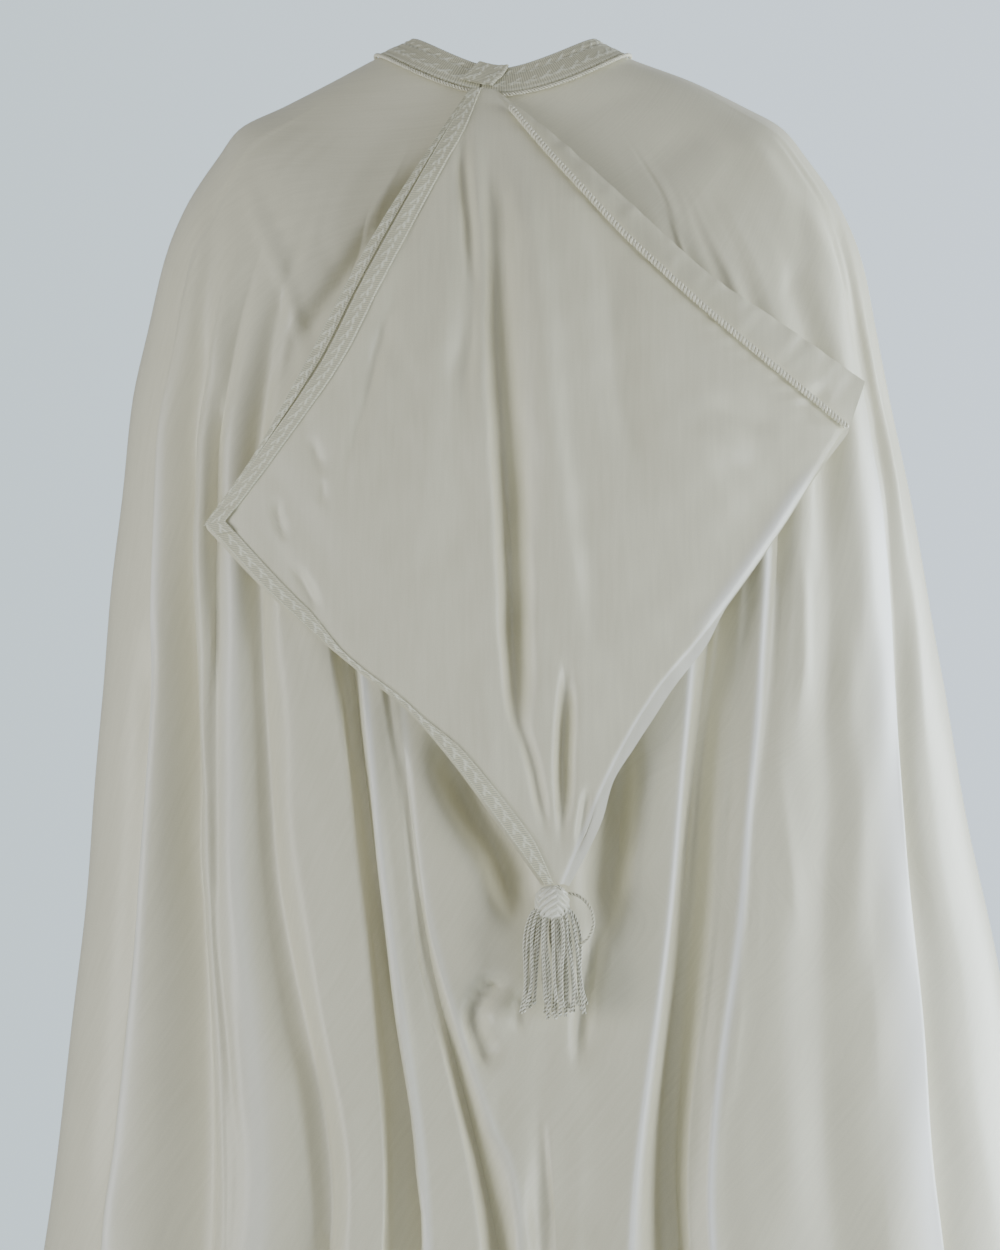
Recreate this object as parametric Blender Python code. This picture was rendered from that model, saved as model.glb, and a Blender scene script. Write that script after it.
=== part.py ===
"""Burnous hooded cloak, worn: a half-round sheet of cloth open down the front, seen best from behind.

Metres, +Z up. The origin is the middle of the neck at the height of the nape, +X is the wearer's right
and +Y is the way the wearer faces. The cloak is one hollow wall of cloth over the shoulders, the hood
hangs flat down the back as two layers, and every trim is made from the points of the cloth under it.
"""
import math
from collections import namedtuple

import bmesh
import bpy
import numpy as np

# ---- driving dimensions, metres
CLOTH = 0.0020            # wall of the cloak
HOOD_CLOTH = 0.0015       # wall of each hood layer
BRAID = 0.0012            # thickness of the woven braid
NECK_BAND_WIDTH = 0.025
NECK_CORD = 0.0030        # diameter of the twisted cord under the neck bands
HOOD_CORD = 0.0046        # diameter of the twisted cord on the hood
NECK_BAND_COLUMNS = 24
NECK_CORD_COLUMNS = 26
SEAM_GAP = 0.0004         # between pieces that are sewn together
LIE_GAP = 0.0006          # under a trim that spans several facets of the cloth
CORNER = 0.80             # 1 is a round plan, less is squarer at the shoulders
COLUMNS_PER_FOLD = 3
CREST_BREADTH = 1.35      # above 1 the crests are broader than the valleys

TASSEL_TOP = (0.0350, -0.1946, -0.5747)
TASSEL_HEAD_RADIUS = 0.0110
TASSEL_HEAD_HEIGHT = 0.0220
TASSEL_STRAND_RADIUS = 0.00105
LOOP_CORD = 0.0025
LOOP_POINTS = 10

# ---- the cloak's form: sections down the cloth, outermost at the crest of its folds
# step is the way down the cloth; left, right, back and front are half widths and depths from the neck
Section = namedtuple("Section", "name step left right side_z back back_z front front_z notch gap")
SECTIONS = [
    Section("neckline", 0.000, 0.062, 0.068, 0.022, 0.058, -0.006, 0.070, -0.050, 1.2, 0.006),
    Section("band edge", 0.025, 0.087, 0.091, 0.010, 0.075, -0.026, 0.090, -0.068, 1.4, 0.006),
    Section("neck slope", 0.060, 0.121, 0.139, -0.008, 0.089, -0.058, 0.103, -0.098, 1.7, 0.006),
    Section("shoulder", 0.100, 0.156, 0.176, -0.026, 0.104, -0.092, 0.114, -0.130, 2.0, 0.006),
    Section("shoulder end", 0.140, 0.188, 0.204, -0.042, 0.118, -0.126, 0.124, -0.162, 2.0, 0.006),
    Section("upper arm", 0.175, 0.204, 0.221, -0.063, 0.128, -0.158, 0.131, -0.192, 2.0, 0.006),
    Section("arm", 0.215, 0.227, 0.245, -0.099, 0.136, -0.193, 0.136, -0.222, 2.0, 0.006),
    Section("arm middle", 0.260, 0.242, 0.260, -0.136, 0.142, -0.228, 0.140, -0.252, 2.0, 0.007),
    Section("chest", 0.310, 0.254, 0.271, -0.188, 0.147, -0.268, 0.143, -0.288, 2.0, 0.008),
    Section("blade", 0.370, 0.265, 0.282, -0.243, 0.151, -0.312, 0.146, -0.328, 2.0, 0.010),
    Section("elbow", 0.450, 0.273, 0.298, -0.318, 0.155, -0.372, 0.149, -0.382, 2.0, 0.013),
    Section("waist", 0.550, 0.283, 0.316, -0.415, 0.160, -0.450, 0.154, -0.455, 2.0, 0.018),
    Section("seat", 0.680, 0.295, 0.339, -0.548, 0.176, -0.560, 0.168, -0.560, 2.0, 0.024),
    Section("thigh", 0.780, 0.305, 0.361, -0.650, 0.190, -0.655, 0.182, -0.655, 2.0, 0.028),
    Section("knee", 0.930, 0.323, 0.386, -0.800, 0.214, -0.800, 0.204, -0.800, 2.0, 0.034),
    Section("calf", 1.090, 0.347, 0.412, -0.960, 0.240, -0.960, 0.228, -0.960, 2.0, 0.040),
    Section("shin", 1.310, 0.384, 0.446, -1.180, 0.278, -1.180, 0.260, -1.180, 2.0, 0.047),
    Section("hem", 1.550, 0.424, 0.480, -1.420, 0.318, -1.420, 0.295, -1.420, 2.0, 0.055),
]

# ---- folds round the cloak, from the left front edge over the back to the right front edge
# x, then the depth of a valley, at the blade, seat, knee and hem; crisp is 0 soft, 1 creased
Fold = namedtuple("Fold", "name face x_blade x_seat x_knee x_hem blade seat knee hem crisp")
FOLDS = [
    Fold("left edge", "front", -0.010, -0.024, -0.034, -0.055, 0.000, 0.000, 0.000, 0.000, 0.6),
    Fold("left edge valley", "front", -0.040, -0.055, -0.072, -0.100, 0.006, 0.014, 0.024, 0.045, 0.0),
    Fold("left front ridge", "front", -0.072, -0.090, -0.110, -0.145, 0.000, 0.000, 0.000, 0.000, 0.2),
    Fold("left chest valley", "front", -0.104, -0.121, -0.142, -0.184, 0.008, 0.018, 0.032, 0.058, 0.0),
    Fold("left chest ridge", "front", -0.136, -0.155, -0.176, -0.226, 0.000, 0.000, 0.000, 0.006, 0.3),
    Fold("left ribs valley", "front", -0.168, -0.190, -0.212, -0.270, 0.008, 0.018, 0.034, 0.060, 0.0),
    Fold("left ribs ridge", "front", -0.200, -0.225, -0.250, -0.320, 0.000, 0.000, 0.000, 0.000, 0.1),
    Fold("left arm valley", "front", -0.228, -0.254, -0.280, -0.360, 0.008, 0.018, 0.030, 0.055, 0.0),
    Fold("left arm ridge", "front", -0.248, -0.275, -0.302, -0.392, 0.000, 0.000, 0.000, 0.004, 0.2),
    Fold("left side valley", "front", -0.259, -0.288, -0.316, -0.414, 0.005, 0.012, 0.018, 0.038, 0.0),
    Fold("left outline", "side", -1.0, -1.0, -1.0, -1.0, 0.000, 0.000, 0.000, 0.000, 0.2),
    Fold("left recess", "back", -0.2455, -0.2545, -0.2745, -0.358, 0.010, 0.016, 0.020, 0.036, 0.3),
    Fold("outer left ridge", "back", -0.240, -0.249, -0.2685, -0.348, 0.000, 0.000, 0.000, 0.000, 0.8),
    Fold("outer left valley", "back", -0.2206, -0.2165, -0.206, -0.272, 0.014, 0.024, 0.030, 0.044, 0.0),
    Fold("long left ridge", "back", -0.1885, -0.1827, -0.165, -0.216, 0.000, 0.000, 0.000, 0.002, 0.2),
    Fold("long left valley", "back", -0.173, -0.158, -0.1165, -0.152, 0.012, 0.020, 0.026, 0.050, 0.0),
    Fold("inner left ridge", "back", -0.158, -0.1325, -0.0977, -0.121, 0.001, 0.000, 0.000, 0.000, 0.1),
    Fold("inner left valley", "back", -0.117, -0.0862, -0.053, -0.066, 0.012, 0.018, 0.024, 0.055, 0.5),
    Fold("left pleat", "back", -0.105, -0.0772, -0.0471, -0.044, 0.000, 0.000, 0.000, 0.000, 0.8),
    Fold("left pleat valley", "back", -0.090, -0.062, -0.004, -0.014, 0.006, 0.002, 0.022, 0.050, 0.4),
    Fold("swag left edge", "back", -0.078, -0.0562, 0.0105, 0.018, 0.000, 0.000, 0.002, 0.000, 0.9),
    Fold("swag left valley", "back", -0.031, -0.015, 0.025, 0.036, 0.004, 0.004, 0.007, 0.018, 0.0),
    Fold("swag ridge", "back", 0.014, 0.030, 0.038, 0.054, 0.000, 0.001, 0.004, 0.000, 0.0),
    Fold("swag right valley", "back", 0.068, 0.070, 0.056, 0.076, 0.007, 0.012, 0.007, 0.045, 0.0),
    Fold("right pleat", "back", 0.135, 0.1168, 0.0854, 0.106, 0.000, 0.000, 0.000, 0.000, 0.7),
    Fold("right pleat valley", "back", 0.156, 0.1295, 0.1095, 0.136, 0.014, 0.022, 0.030, 0.058, 0.5),
    Fold("right ridge", "back", 0.186, 0.1667, 0.1415, 0.171, 0.000, 0.000, 0.000, 0.000, 0.8),
    Fold("right shallow valley", "back", 0.1985, 0.186, 0.164, 0.199, 0.006, 0.002, 0.005, 0.035, 0.0),
    Fold("right soft ridge", "back", 0.2104, 0.2015, 0.185, 0.230, 0.000, 0.000, 0.000, 0.000, 0.1),
    Fold("right long valley", "back", 0.229, 0.2343, 0.236, 0.286, 0.004, 0.003, 0.005, 0.050, 0.0),
    Fold("right panel edge", "back", 0.2655, 0.2793, 0.2964, 0.365, 0.002, 0.002, 0.003, 0.004, 0.9),
    Fold("right panel valley", "back", 0.2712, 0.286, 0.304, 0.385, 0.006, 0.009, 0.012, 0.046, 0.4),
    Fold("outer right ridge", "back", 0.2765, 0.308, 0.343, 0.424, 0.001, 0.002, 0.002, 0.004, 0.2),
    Fold("right outline", "side", 1.0, 1.0, 1.0, 1.0, 0.000, 0.000, 0.000, 0.000, 0.2),
    Fold("right side valley", "front", 0.275, 0.328, 0.375, 0.466, 0.006, 0.014, 0.022, 0.042, 0.0),
    Fold("right arm ridge", "front", 0.262, 0.312, 0.355, 0.440, 0.000, 0.000, 0.000, 0.004, 0.2),
    Fold("right arm valley", "front", 0.242, 0.288, 0.328, 0.404, 0.008, 0.018, 0.030, 0.055, 0.0),
    Fold("right ribs ridge", "front", 0.212, 0.252, 0.288, 0.356, 0.000, 0.000, 0.000, 0.000, 0.1),
    Fold("right ribs valley", "front", 0.178, 0.210, 0.240, 0.300, 0.008, 0.018, 0.034, 0.060, 0.0),
    Fold("right chest ridge", "front", 0.144, 0.168, 0.194, 0.246, 0.000, 0.000, 0.000, 0.005, 0.3),
    Fold("right chest valley", "front", 0.108, 0.128, 0.150, 0.196, 0.008, 0.018, 0.032, 0.058, 0.0),
    Fold("right front ridge", "front", 0.074, 0.092, 0.112, 0.150, 0.000, 0.000, 0.000, 0.000, 0.2),
    Fold("right edge valley", "front", 0.040, 0.056, 0.072, 0.102, 0.006, 0.014, 0.024, 0.045, 0.0),
    Fold("right edge", "front", 0.010, 0.024, 0.034, 0.055, 0.000, 0.000, 0.000, 0.000, 0.6),
]
STEP = {section.name: section.step for section in SECTIONS}
FOLD_STEPS = [STEP["blade"], STEP["seat"], STEP["knee"], STEP["hem"]]
DEPTH_STEPS = [STEP["upper arm"], STEP["blade"], STEP["seat"], STEP["knee"], STEP["hem"]]
CLOAK_ROWS = [0.0, 0.0125, 0.025, 0.060, 0.100, 0.140, 0.175, 0.215, 0.310, 0.390, 0.480, 0.580,
              0.680, 0.770, 0.860, 0.930, 1.010, 1.150, 1.340, 1.550]

# ---- the hood: outlines of its two layers seen from behind, x and z from the neck crossing to the tip
HOOD_EDGES = {
    "upper left": [(-0.019, -0.0235), (-0.031, -0.045), (-0.059, -0.097), (-0.097, -0.170),
                   (-0.120, -0.217), (-0.163, -0.280), (-0.201, -0.331)],
    "under left": [(-0.022, -0.0235), (-0.045, -0.061), (-0.094, -0.143), (-0.133, -0.219),
                   (-0.169, -0.283), (-0.2045, -0.332)],
    "upper right": [(-0.005, -0.0235), (0.026, -0.064), (0.086, -0.132), (0.126, -0.170),
                    (0.167, -0.205), (0.239, -0.263)],
    "under right": [(-0.002, -0.0235), (0.030, -0.050), (0.086, -0.103), (0.117, -0.132),
                    (0.149, -0.160), (0.192, -0.188), (0.257, -0.231)],
    "upper lower left": [(-0.201, -0.331), (-0.154, -0.380), (-0.096, -0.430), (-0.066, -0.453),
                         (-0.040, -0.481), (0.009, -0.545), (0.030, -0.574)],
    "upper lower right": [(0.239, -0.263), (0.185, -0.345), (0.136, -0.410), (0.108, -0.443),
                          (0.076, -0.497), (0.043, -0.574)],
}
# how far the under layer reaches past the upper one below the hood's corners
UNDER_MARGINS = {
    "left": [(0.50, 0.0030), (0.70, 0.0015), (1.00, 0.0020)],
    "right": [(0.50, 0.0050), (0.62, 0.0030), (0.69, 0.0050), (0.76, 0.0130), (0.83, 0.0080),
              (0.90, 0.0100), (0.96, 0.0120), (1.00, 0.0040)],
}
# how far behind the neck the hood hangs at each height, and how it bends round the back
HOOD_HANG = [(-0.0235, 0.0826), (-0.060, 0.108), (-0.120, 0.136), (-0.200, 0.158), (-0.300, 0.172),
             (-0.400, 0.179), (-0.500, 0.187), (-0.574, 0.1955)]
HOOD_BEND = 0.95
HOOD_ROWS = [0.0, 0.03, 0.08, 0.14, 0.20, 0.26, 0.32, 0.38, 0.44, 0.485, 0.50, 0.515, 0.56, 0.62,
             0.69, 0.76, 0.83, 0.90, 0.96, 1.0]
HOOD_COLUMNS = 11
BRAID_MOST_SHARE = 0.45    # the braid takes no more of the hood's width than this
MARGIN_BRAID_SHARE = 0.80  # how much of the under layer's left margin its braid covers
# width of the braid along the hood's left edges, from the neck crossing round the corner to the tip
BRAID_WIDTHS = [(0.0, 0.006), (0.06, 0.013), (0.30, 0.015), (0.47, 0.014), (0.53, 0.013), (0.62, 0.012),
                (0.70, 0.0035), (0.78, 0.0035), (0.84, 0.011), (0.94, 0.013), (1.0, 0.006)]
Trough = namedtuple("Trough", "name x_top z_top x_low z_low depth width")
HOOD_TROUGHS = [
    Trough("crossing crease", -0.024, -0.050, -0.017, -0.160, 0.005, 0.005),
    Trough("long valley top", -0.009, -0.050, 0.003, -0.300, 0.008, 0.009),
    Trough("long valley foot", 0.002, -0.280, 0.031, -0.540, 0.007, 0.011),
    Trough("right soft valley", 0.062, -0.120, 0.110, -0.300, 0.005, 0.017),
    Trough("left soft valley", -0.066, -0.155, -0.098, -0.270, 0.004, 0.012),
    Trough("tip groove", 0.047, -0.450, 0.041, -0.545, 0.004, 0.006),
]
TROUGH_FADE = 0.045

# rings of strands in the tassel: how many, where their roots are and how far their ends spread
StrandRing = namedtuple("StrandRing", "count root_x root_y end_x end_y length turn")
STRAND_RINGS = [
    StrandRing(4, 0.0023, 0.0020, 0.0060, 0.0026, 0.071, 0.40),
    StrandRing(10, 0.0056, 0.0050, 0.0130, 0.0058, 0.069, 0.10),
    StrandRing(16, 0.0088, 0.0082, 0.0195, 0.0094, 0.067, 0.00),
]
TASSEL_LEAN = 0.0120      # how much further back the strands' ends lie than the head
ROOT_DEPTH = 0.72         # the strands start this share of the head's height below its top
STRAND_STATIONS = (0.0, 0.22, 0.55, 1.0)
STRAND_SIDES = 4
STRAND_FLARE = 0.6        # below 1 the strands spread early
ROOT_SIZE = 0.72          # a strand's thickness at its root, as a share of its thickness at the end
UNEVEN_CUT = 0.05         # how much the strands' lengths differ
UNEVEN_STEP = 5.3         # from one strand to the next, on the wave that sets their lengths
# the tassel's head: height as a share of its own, radius as a share of its own
HEAD_PROFILE = [(0.0, 0.35), (-0.10, 0.72), (-0.35, 0.97), (-0.62, 1.0), (-0.85, 0.95), (-1.0, 0.90)]
HEAD_SIDES = 14

# route of the loose loop: out of the tassel's head, round, and back to its strands
LOOP_ROUTE = [(0.0458, -0.1946, -0.5800), (0.0505, -0.1955, -0.5808), (0.0570, -0.1975, -0.5850),
              (0.0615, -0.2000, -0.5925), (0.0622, -0.2020, -0.6010), (0.0595, -0.2020, -0.6085),
              (0.0555, -0.2005, -0.6125), (0.0516, -0.1992, -0.6139)]

CLOSURE_HALF_WIDTH = 0.028
CLOSURE_FROM = 0.040
CLOSURE_TO = 0.215
CLOSURE_GAP = 0.0012
CLOSURE_ROWS = 7
CLOSURE_COLUMNS = 7       # odd, so that the middle column lies on the front edges' gap

# the neck bands meet at the nape, a little to the left of the middle, under the hood's turned-up braid
NAPE_ANGLE = math.radians(-6.0)
WRAP_HALF_ANGLE = math.radians(5.0)
WRAP_STEPS = (0.0006, 0.0060, 0.0120, 0.0170)
WRAP_COLUMNS = 5
WRAP_GAP = 0.0009
BAND_INSET = 0.0006       # the bands stop this far short of the neckline
BAND_END = math.radians(0.35)
SHARP_EDGE = math.radians(40.0)

Finish = namedtuple("Finish", "colour roughness")
FINISHES = {
    "ivory_crepe": Finish((0.72, 0.71, 0.66), 0.45),
    "braid": Finish((0.70, 0.68, 0.60), 0.55),
    "twisted_cord": Finish((0.68, 0.66, 0.58), 0.50),
    "tassel_silk": Finish((0.74, 0.72, 0.66), 0.40),
}


def clear_scene():
    """Take away whatever the file holds, so that only the cloak is built."""
    for scene_object in list(bpy.data.objects):
        bpy.data.objects.remove(scene_object, do_unlink=True)


def finish(name):
    """The named material, made once."""
    material = bpy.data.materials.get(name)
    if material is None:
        material = bpy.data.materials.new(name)
        material.use_nodes = True
        shader = material.node_tree.nodes["Principled BSDF"]
        shader.inputs["Base Color"].default_value = (*FINISHES[name].colour, 1.0)
        shader.inputs["Roughness"].default_value = FINISHES[name].roughness
        shader.inputs["Metallic"].default_value = 0.0
    return material


def follow(keys, values, at, sway=0.0):
    """Read a smooth curve through (keys, values): cubic pieces, level at turning points unless sway is 1."""
    keys = np.asarray(keys, dtype=float)
    values = np.asarray(values, dtype=float)
    at = np.clip(np.asarray(at, dtype=float), keys[0], keys[-1])
    chord = np.diff(values) / np.diff(keys)
    before = chord[:-1]
    after = chord[1:]
    same_way = before * after > 0.0
    total = np.where(same_way, before + after, 1.0)
    turn = sway * 0.5 * (before + after)
    slope = np.concatenate(([chord[0]], np.where(same_way, 2.0 * before * after / total, turn), [chord[-1]]))
    piece = np.clip(np.searchsorted(keys, at, side="right") - 1, 0, len(keys) - 2)
    width = keys[piece + 1] - keys[piece]
    part = (at - keys[piece]) / width
    rise = part * part * (3.0 - 2.0 * part)
    leave = part * (1.0 - part) ** 2
    arrive = part * part * (part - 1.0)
    start = values[piece]
    return (start + (values[piece + 1] - start) * rise
            + width * (leave * slope[piece] + arrive * slope[piece + 1]))


def section_value(column, step):
    """One column of the sections' table, read smoothly at any way down the cloth."""
    return follow([s.step for s in SECTIONS], [getattr(s, column) for s in SECTIONS], step)


def angle_of(x, half_width, face):
    """Angle round the section where it is x wide: 0 at the back, +90 degrees at the right side."""
    reach = np.clip(np.abs(x) / half_width, 0.0, 1.0) ** (1.0 / CORNER)
    angle = np.arcsin(reach)
    if face == "front":
        angle = math.pi - angle
    return np.sign(x) * angle


def fold_angles(step):
    """Angles of every fold line at one way down the cloth, left front edge first."""
    angles = []
    for fold in FOLDS:
        side = "right" if fold.x_seat > 0.0 else "left"
        if fold.face == "side":
            angles.append(math.copysign(math.pi / 2.0, fold.x_seat))
            continue
        lines = [float(angle_of(x, section_value(side, at), fold.face))
                 for x, at in zip((fold.x_blade, fold.x_seat, fold.x_knee, fold.x_hem), FOLD_STEPS)]
        angles.append(float(follow(FOLD_STEPS, lines, step, sway=1.0)))
    gap = section_value("gap", step)
    angles[0] = float(angle_of(-gap, section_value("left", step), "front"))
    angles[-1] = float(angle_of(gap, section_value("right", step), "front"))
    return np.array(angles)


def fold_depths(step):
    """How far each fold line lies inside the crests at one way down the cloth."""
    return np.array([float(follow(DEPTH_STEPS, (0.0, fold.blade, fold.seat, fold.knee, fold.hem), step))
                     for fold in FOLDS])


def spread(values, columns):
    """Columns spaced evenly between neighbouring fold lines."""
    part = np.arange(columns) / columns
    start = values[:-1, None]
    return np.append((start + (values[1:, None] - start) * part).ravel(), values[-1])


def folded(depths, crispness, columns):
    """Depth at those columns: S curves, broad at the crests, straighter where a line is crisp."""
    part = np.arange(columns) / columns
    start = depths[:-1, None]
    rise = depths[1:, None] - start
    part = np.where(rise >= 0.0, part ** CREST_BREADTH, 1.0 - (1.0 - part) ** CREST_BREADTH)
    leave = crispness[:-1, None]
    arrive = crispness[1:, None]
    curve = part * part * (3.0 - 2.0 * part) + leave * part * (1.0 - part) ** 2
    curve = curve + arrive * part * part * (part - 1.0)
    return np.append((start + rise * curve).ravel(), depths[-1])


def cloak_point(step, angle, inward=0.0):
    """Points of the cloak's form: a squarish ring whose height runs from its back over its sides."""
    angle = np.asarray(angle, dtype=float)
    across = np.sin(angle)
    facing = np.cos(angle)
    half = np.where(across > 0.0, section_value("right", step), section_value("left", step))
    depth = np.where(facing > 0.0, section_value("back", step), section_value("front", step))
    level = np.where(facing > 0.0, section_value("back_z", step), section_value("front_z", step))
    x = half * np.sign(across) * np.abs(across) ** CORNER
    y = -depth * np.sign(facing) * np.abs(facing) ** CORNER
    side_z = section_value("side_z", step)
    z = level + (side_z - level) * np.abs(across) ** section_value("notch", step)
    power = 2.0 / CORNER - 1.0
    out_x = np.sign(x) * (np.abs(x) / half) ** power / half
    out_y = np.sign(y) * (np.abs(y) / depth) ** power / depth
    length = np.maximum(np.hypot(out_x, out_y), 1e-9)
    return np.stack([x - inward * out_x / length, y - inward * out_y / length, z], axis=-1)


def cloak_grid(steps, columns):
    """The cloak's outer face: rows down the cloth, columns that follow its folds."""
    crispness = np.array([fold.crisp for fold in FOLDS])
    rows = []
    for step in steps:
        angle = spread(fold_angles(step), columns)
        inward = folded(fold_depths(step), crispness, columns)
        rows.append(cloak_point(step, angle, inward))
    return np.array(rows)


def outward(grid, towards):
    """Unit normals of a grid of points, on the side that points towards the given directions."""
    along = np.gradient(grid, axis=1)
    down = np.gradient(grid, axis=0)
    normal = np.cross(along, down)
    normal /= np.maximum(np.linalg.norm(normal, axis=-1, keepdims=True), 1e-12)
    if np.sum(normal * towards) < 0.0:
        normal = -normal
    return normal


def moved_out(grid, towards, distance):
    """A grid moved along its own normals."""
    return grid + distance * outward(grid, towards)


def from_axis(grid):
    """Directions away from the wearer's middle, for the cloak and what lies on it."""
    return grid * np.array([1.0, 1.0, 0.0])


def make_object(name, mesh, finish_name):
    """Link a mesh as a named object with its material, shaded smooth but for sharp edges."""
    mesh.materials.append(finish(finish_name))
    solid = bpy.data.objects.new(name, mesh)
    bpy.context.scene.collection.objects.link(solid)
    mesh.shade_smooth()
    mesh.set_sharp_from_angle(angle=SHARP_EDGE)
    return solid


def wall(name, outer, inner, finish_name):
    """A closed wall between two grids of points: both faces split their squares along one diagonal."""
    rows, columns = outer.shape[:2]
    points = np.concatenate([outer.reshape(-1, 3), inner.reshape(-1, 3)])
    index = np.arange(rows * columns).reshape(rows, columns)
    ahead_faces = np.stack([index[:-1, :-1], index[:-1, 1:], index[1:, 1:]], -1).reshape(-1, 3)
    below_faces = np.stack([index[:-1, :-1], index[1:, 1:], index[1:, :-1]], -1).reshape(-1, 3)
    faces = np.concatenate([ahead_faces, below_faces])
    back = faces[:, ::-1] + rows * columns
    rim = np.concatenate([index[0, :], index[1:, -1], index[-1, -2::-1], index[-2:0:-1, 0]])
    ahead = np.roll(rim, -1)
    edge = np.stack([rim, rim + rows * columns, ahead + rows * columns, ahead], -1)
    mesh = bpy.data.meshes.new(name)
    mesh.from_pydata(points.tolist(), [], faces.tolist() + back.tolist() + edge.tolist())
    shape = bmesh.new()
    shape.from_mesh(mesh)
    bmesh.ops.recalc_face_normals(shape, faces=shape.faces)
    shape.to_mesh(mesh)
    shape.free()
    return make_object(name, mesh, finish_name)


def laid_on(name, grid, towards, gap, thickness, finish_name):
    """A flat piece that lies on a grid of points of the cloth."""
    normal = outward(grid, towards)
    return wall(name, grid + (gap + thickness) * normal, grid + gap * normal, finish_name)


def cord(name, points, diameter, finish_name, rounds=1):
    """A round cord along a list of points, with closed ends."""
    curve = bpy.data.curves.new(name, "CURVE")
    curve.dimensions = "3D"
    curve.bevel_depth = diameter / 2.0
    curve.bevel_resolution = rounds
    curve.use_fill_caps = True
    spline = curve.splines.new("POLY")
    spline.points.add(len(points) - 1)
    for place, point in zip(spline.points, points):
        place.co = (*point, 1.0)
    curve.materials.append(finish(finish_name))
    solid = bpy.data.objects.new(name, curve)
    bpy.context.scene.collection.objects.link(solid)
    return solid


# ---- cloak and what lies on it
def make_cloak():
    """The cloak itself: one wall of cloth, open at the neck, at the hem and down the front."""
    outer = cloak_grid(CLOAK_ROWS, COLUMNS_PER_FOLD)
    wall("cloak_cloth", outer, moved_out(outer, from_axis(outer), -CLOTH), "ivory_crepe")


def neck_rows(steps, first, last, columns):
    """A patch of the cloak beside the neckline, between two angles."""
    angle = np.linspace(first, last, columns)
    return np.array([cloak_point(step, angle) for step in steps])


def make_neck_trims():
    """Two braids along the neckline that meet at the nape, each with a twisted cord below it."""
    front = fold_angles(0.0)
    sides = {"left": (front[0], NAPE_ANGLE - BAND_END), "right": (NAPE_ANGLE + BAND_END, front[-1])}
    band_steps = (BAND_INSET, NECK_BAND_WIDTH / 2.0, NECK_BAND_WIDTH - BAND_INSET)
    middle = NECK_BAND_WIDTH + NECK_CORD / 2.0 + BAND_INSET
    cord_steps = (middle - NECK_CORD / 2.0, middle, middle + NECK_CORD / 2.0)
    for side, (first, last) in sides.items():
        band = neck_rows(band_steps, first, last, NECK_BAND_COLUMNS)
        laid_on("neck_band_" + side, band, from_axis(band), LIE_GAP, BRAID, "braid")
        under = neck_rows(cord_steps, first, last, NECK_CORD_COLUMNS)
        line = moved_out(under, from_axis(under), NECK_CORD / 2.0 + LIE_GAP)[1]
        cord("neck_cord_" + side, line, NECK_CORD, "twisted_cord")


def make_chest_closure():
    """A strip of braid over the chest that holds the two front edges together."""
    across = np.linspace(-CLOSURE_HALF_WIDTH, CLOSURE_HALF_WIDTH, CLOSURE_COLUMNS)
    middle = CLOSURE_COLUMNS // 2
    rows = []
    for step in np.linspace(CLOSURE_FROM, CLOSURE_TO, CLOSURE_ROWS):
        half = np.where(across > 0.0, section_value("right", step), section_value("left", step))
        angle = angle_of(across, half, "front")
        angle[middle] = math.pi
        rows.append(cloak_point(step, angle))
    grid = np.array(rows)
    laid_on("chest_closure", grid, from_axis(grid), CLOSURE_GAP, BRAID, "braid")


# ---- hood
def edge_line(name, part):
    """Points along one of the hood's edges, part running from 0 to 1 between its ends."""
    points = np.array(HOOD_EDGES[name])
    reach = np.concatenate(([0.0], np.cumsum(np.hypot(*np.diff(points, axis=0).T))))
    at = np.asarray(part) * reach[-1]
    return np.stack([follow(reach, points[:, 0], at), follow(reach, points[:, 1], at)], -1)


def upper_outline(side, rows):
    """The upper layer's outline on one side: at its corner at one half, at the tip at one."""
    above = edge_line("upper " + side, np.clip(rows * 2.0, 0.0, 1.0))
    below = edge_line("upper lower " + side, np.clip(rows * 2.0 - 1.0, 0.0, 1.0))
    return np.where(rows[:, None] <= 0.5, above, below)


def under_outline(side, rows):
    """The under layer's outline: its own line down to its corner, then a margin past the upper layer."""
    above = edge_line("under " + side, np.clip(rows * 2.0, 0.0, 1.0))
    below = upper_outline(side, rows)
    along = np.gradient(edge_line("upper lower " + side, np.clip(rows * 2.0 - 1.0, 0.0, 1.0)), axis=0)
    aside = np.stack([-along[:, 1], along[:, 0]], -1)
    if side == "left":
        aside = -aside
    aside /= np.maximum(np.linalg.norm(aside, axis=-1, keepdims=True), 1e-9)
    margins = UNDER_MARGINS[side]
    margin = follow([at for at, _ in margins], [wide for _, wide in margins], rows)
    return np.where(rows[:, None] <= 0.5, above, below + margin[:, None] * aside)


def hood_relief(x, z):
    """Depth of the hood's folds: round troughs along slanted lines, fading at their ends."""
    depth = np.zeros_like(x)
    for trough in HOOD_TROUGHS:
        part = (z - trough.z_top) / (trough.z_low - trough.z_top)
        line = trough.x_top + (trough.x_low - trough.x_top) * part
        fade_top = np.clip((trough.z_top - z) / TROUGH_FADE + 0.5, 0.0, 1.0)
        fade_low = np.clip((z - trough.z_low) / TROUGH_FADE + 0.5, 0.0, 1.0)
        fade = fade_top * fade_top * (3.0 - 2.0 * fade_top) * fade_low * fade_low * (3.0 - 2.0 * fade_low)
        depth = depth + trough.depth * fade * np.exp(-((x - line) / trough.width) ** 2)
    return depth


def hood_sheet(flat):
    """Lift points of the flat outline onto the hanging hood: behind the neck, bent round the back."""
    x = flat[..., 0]
    z = flat[..., 1]
    heights = [-height for height, _ in HOOD_HANG]
    hang = follow(heights, [back for _, back in HOOD_HANG], -z)
    y = -hang + HOOD_BEND * x * x + hood_relief(x, z)
    return np.stack([x, y, z], -1)


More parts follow.
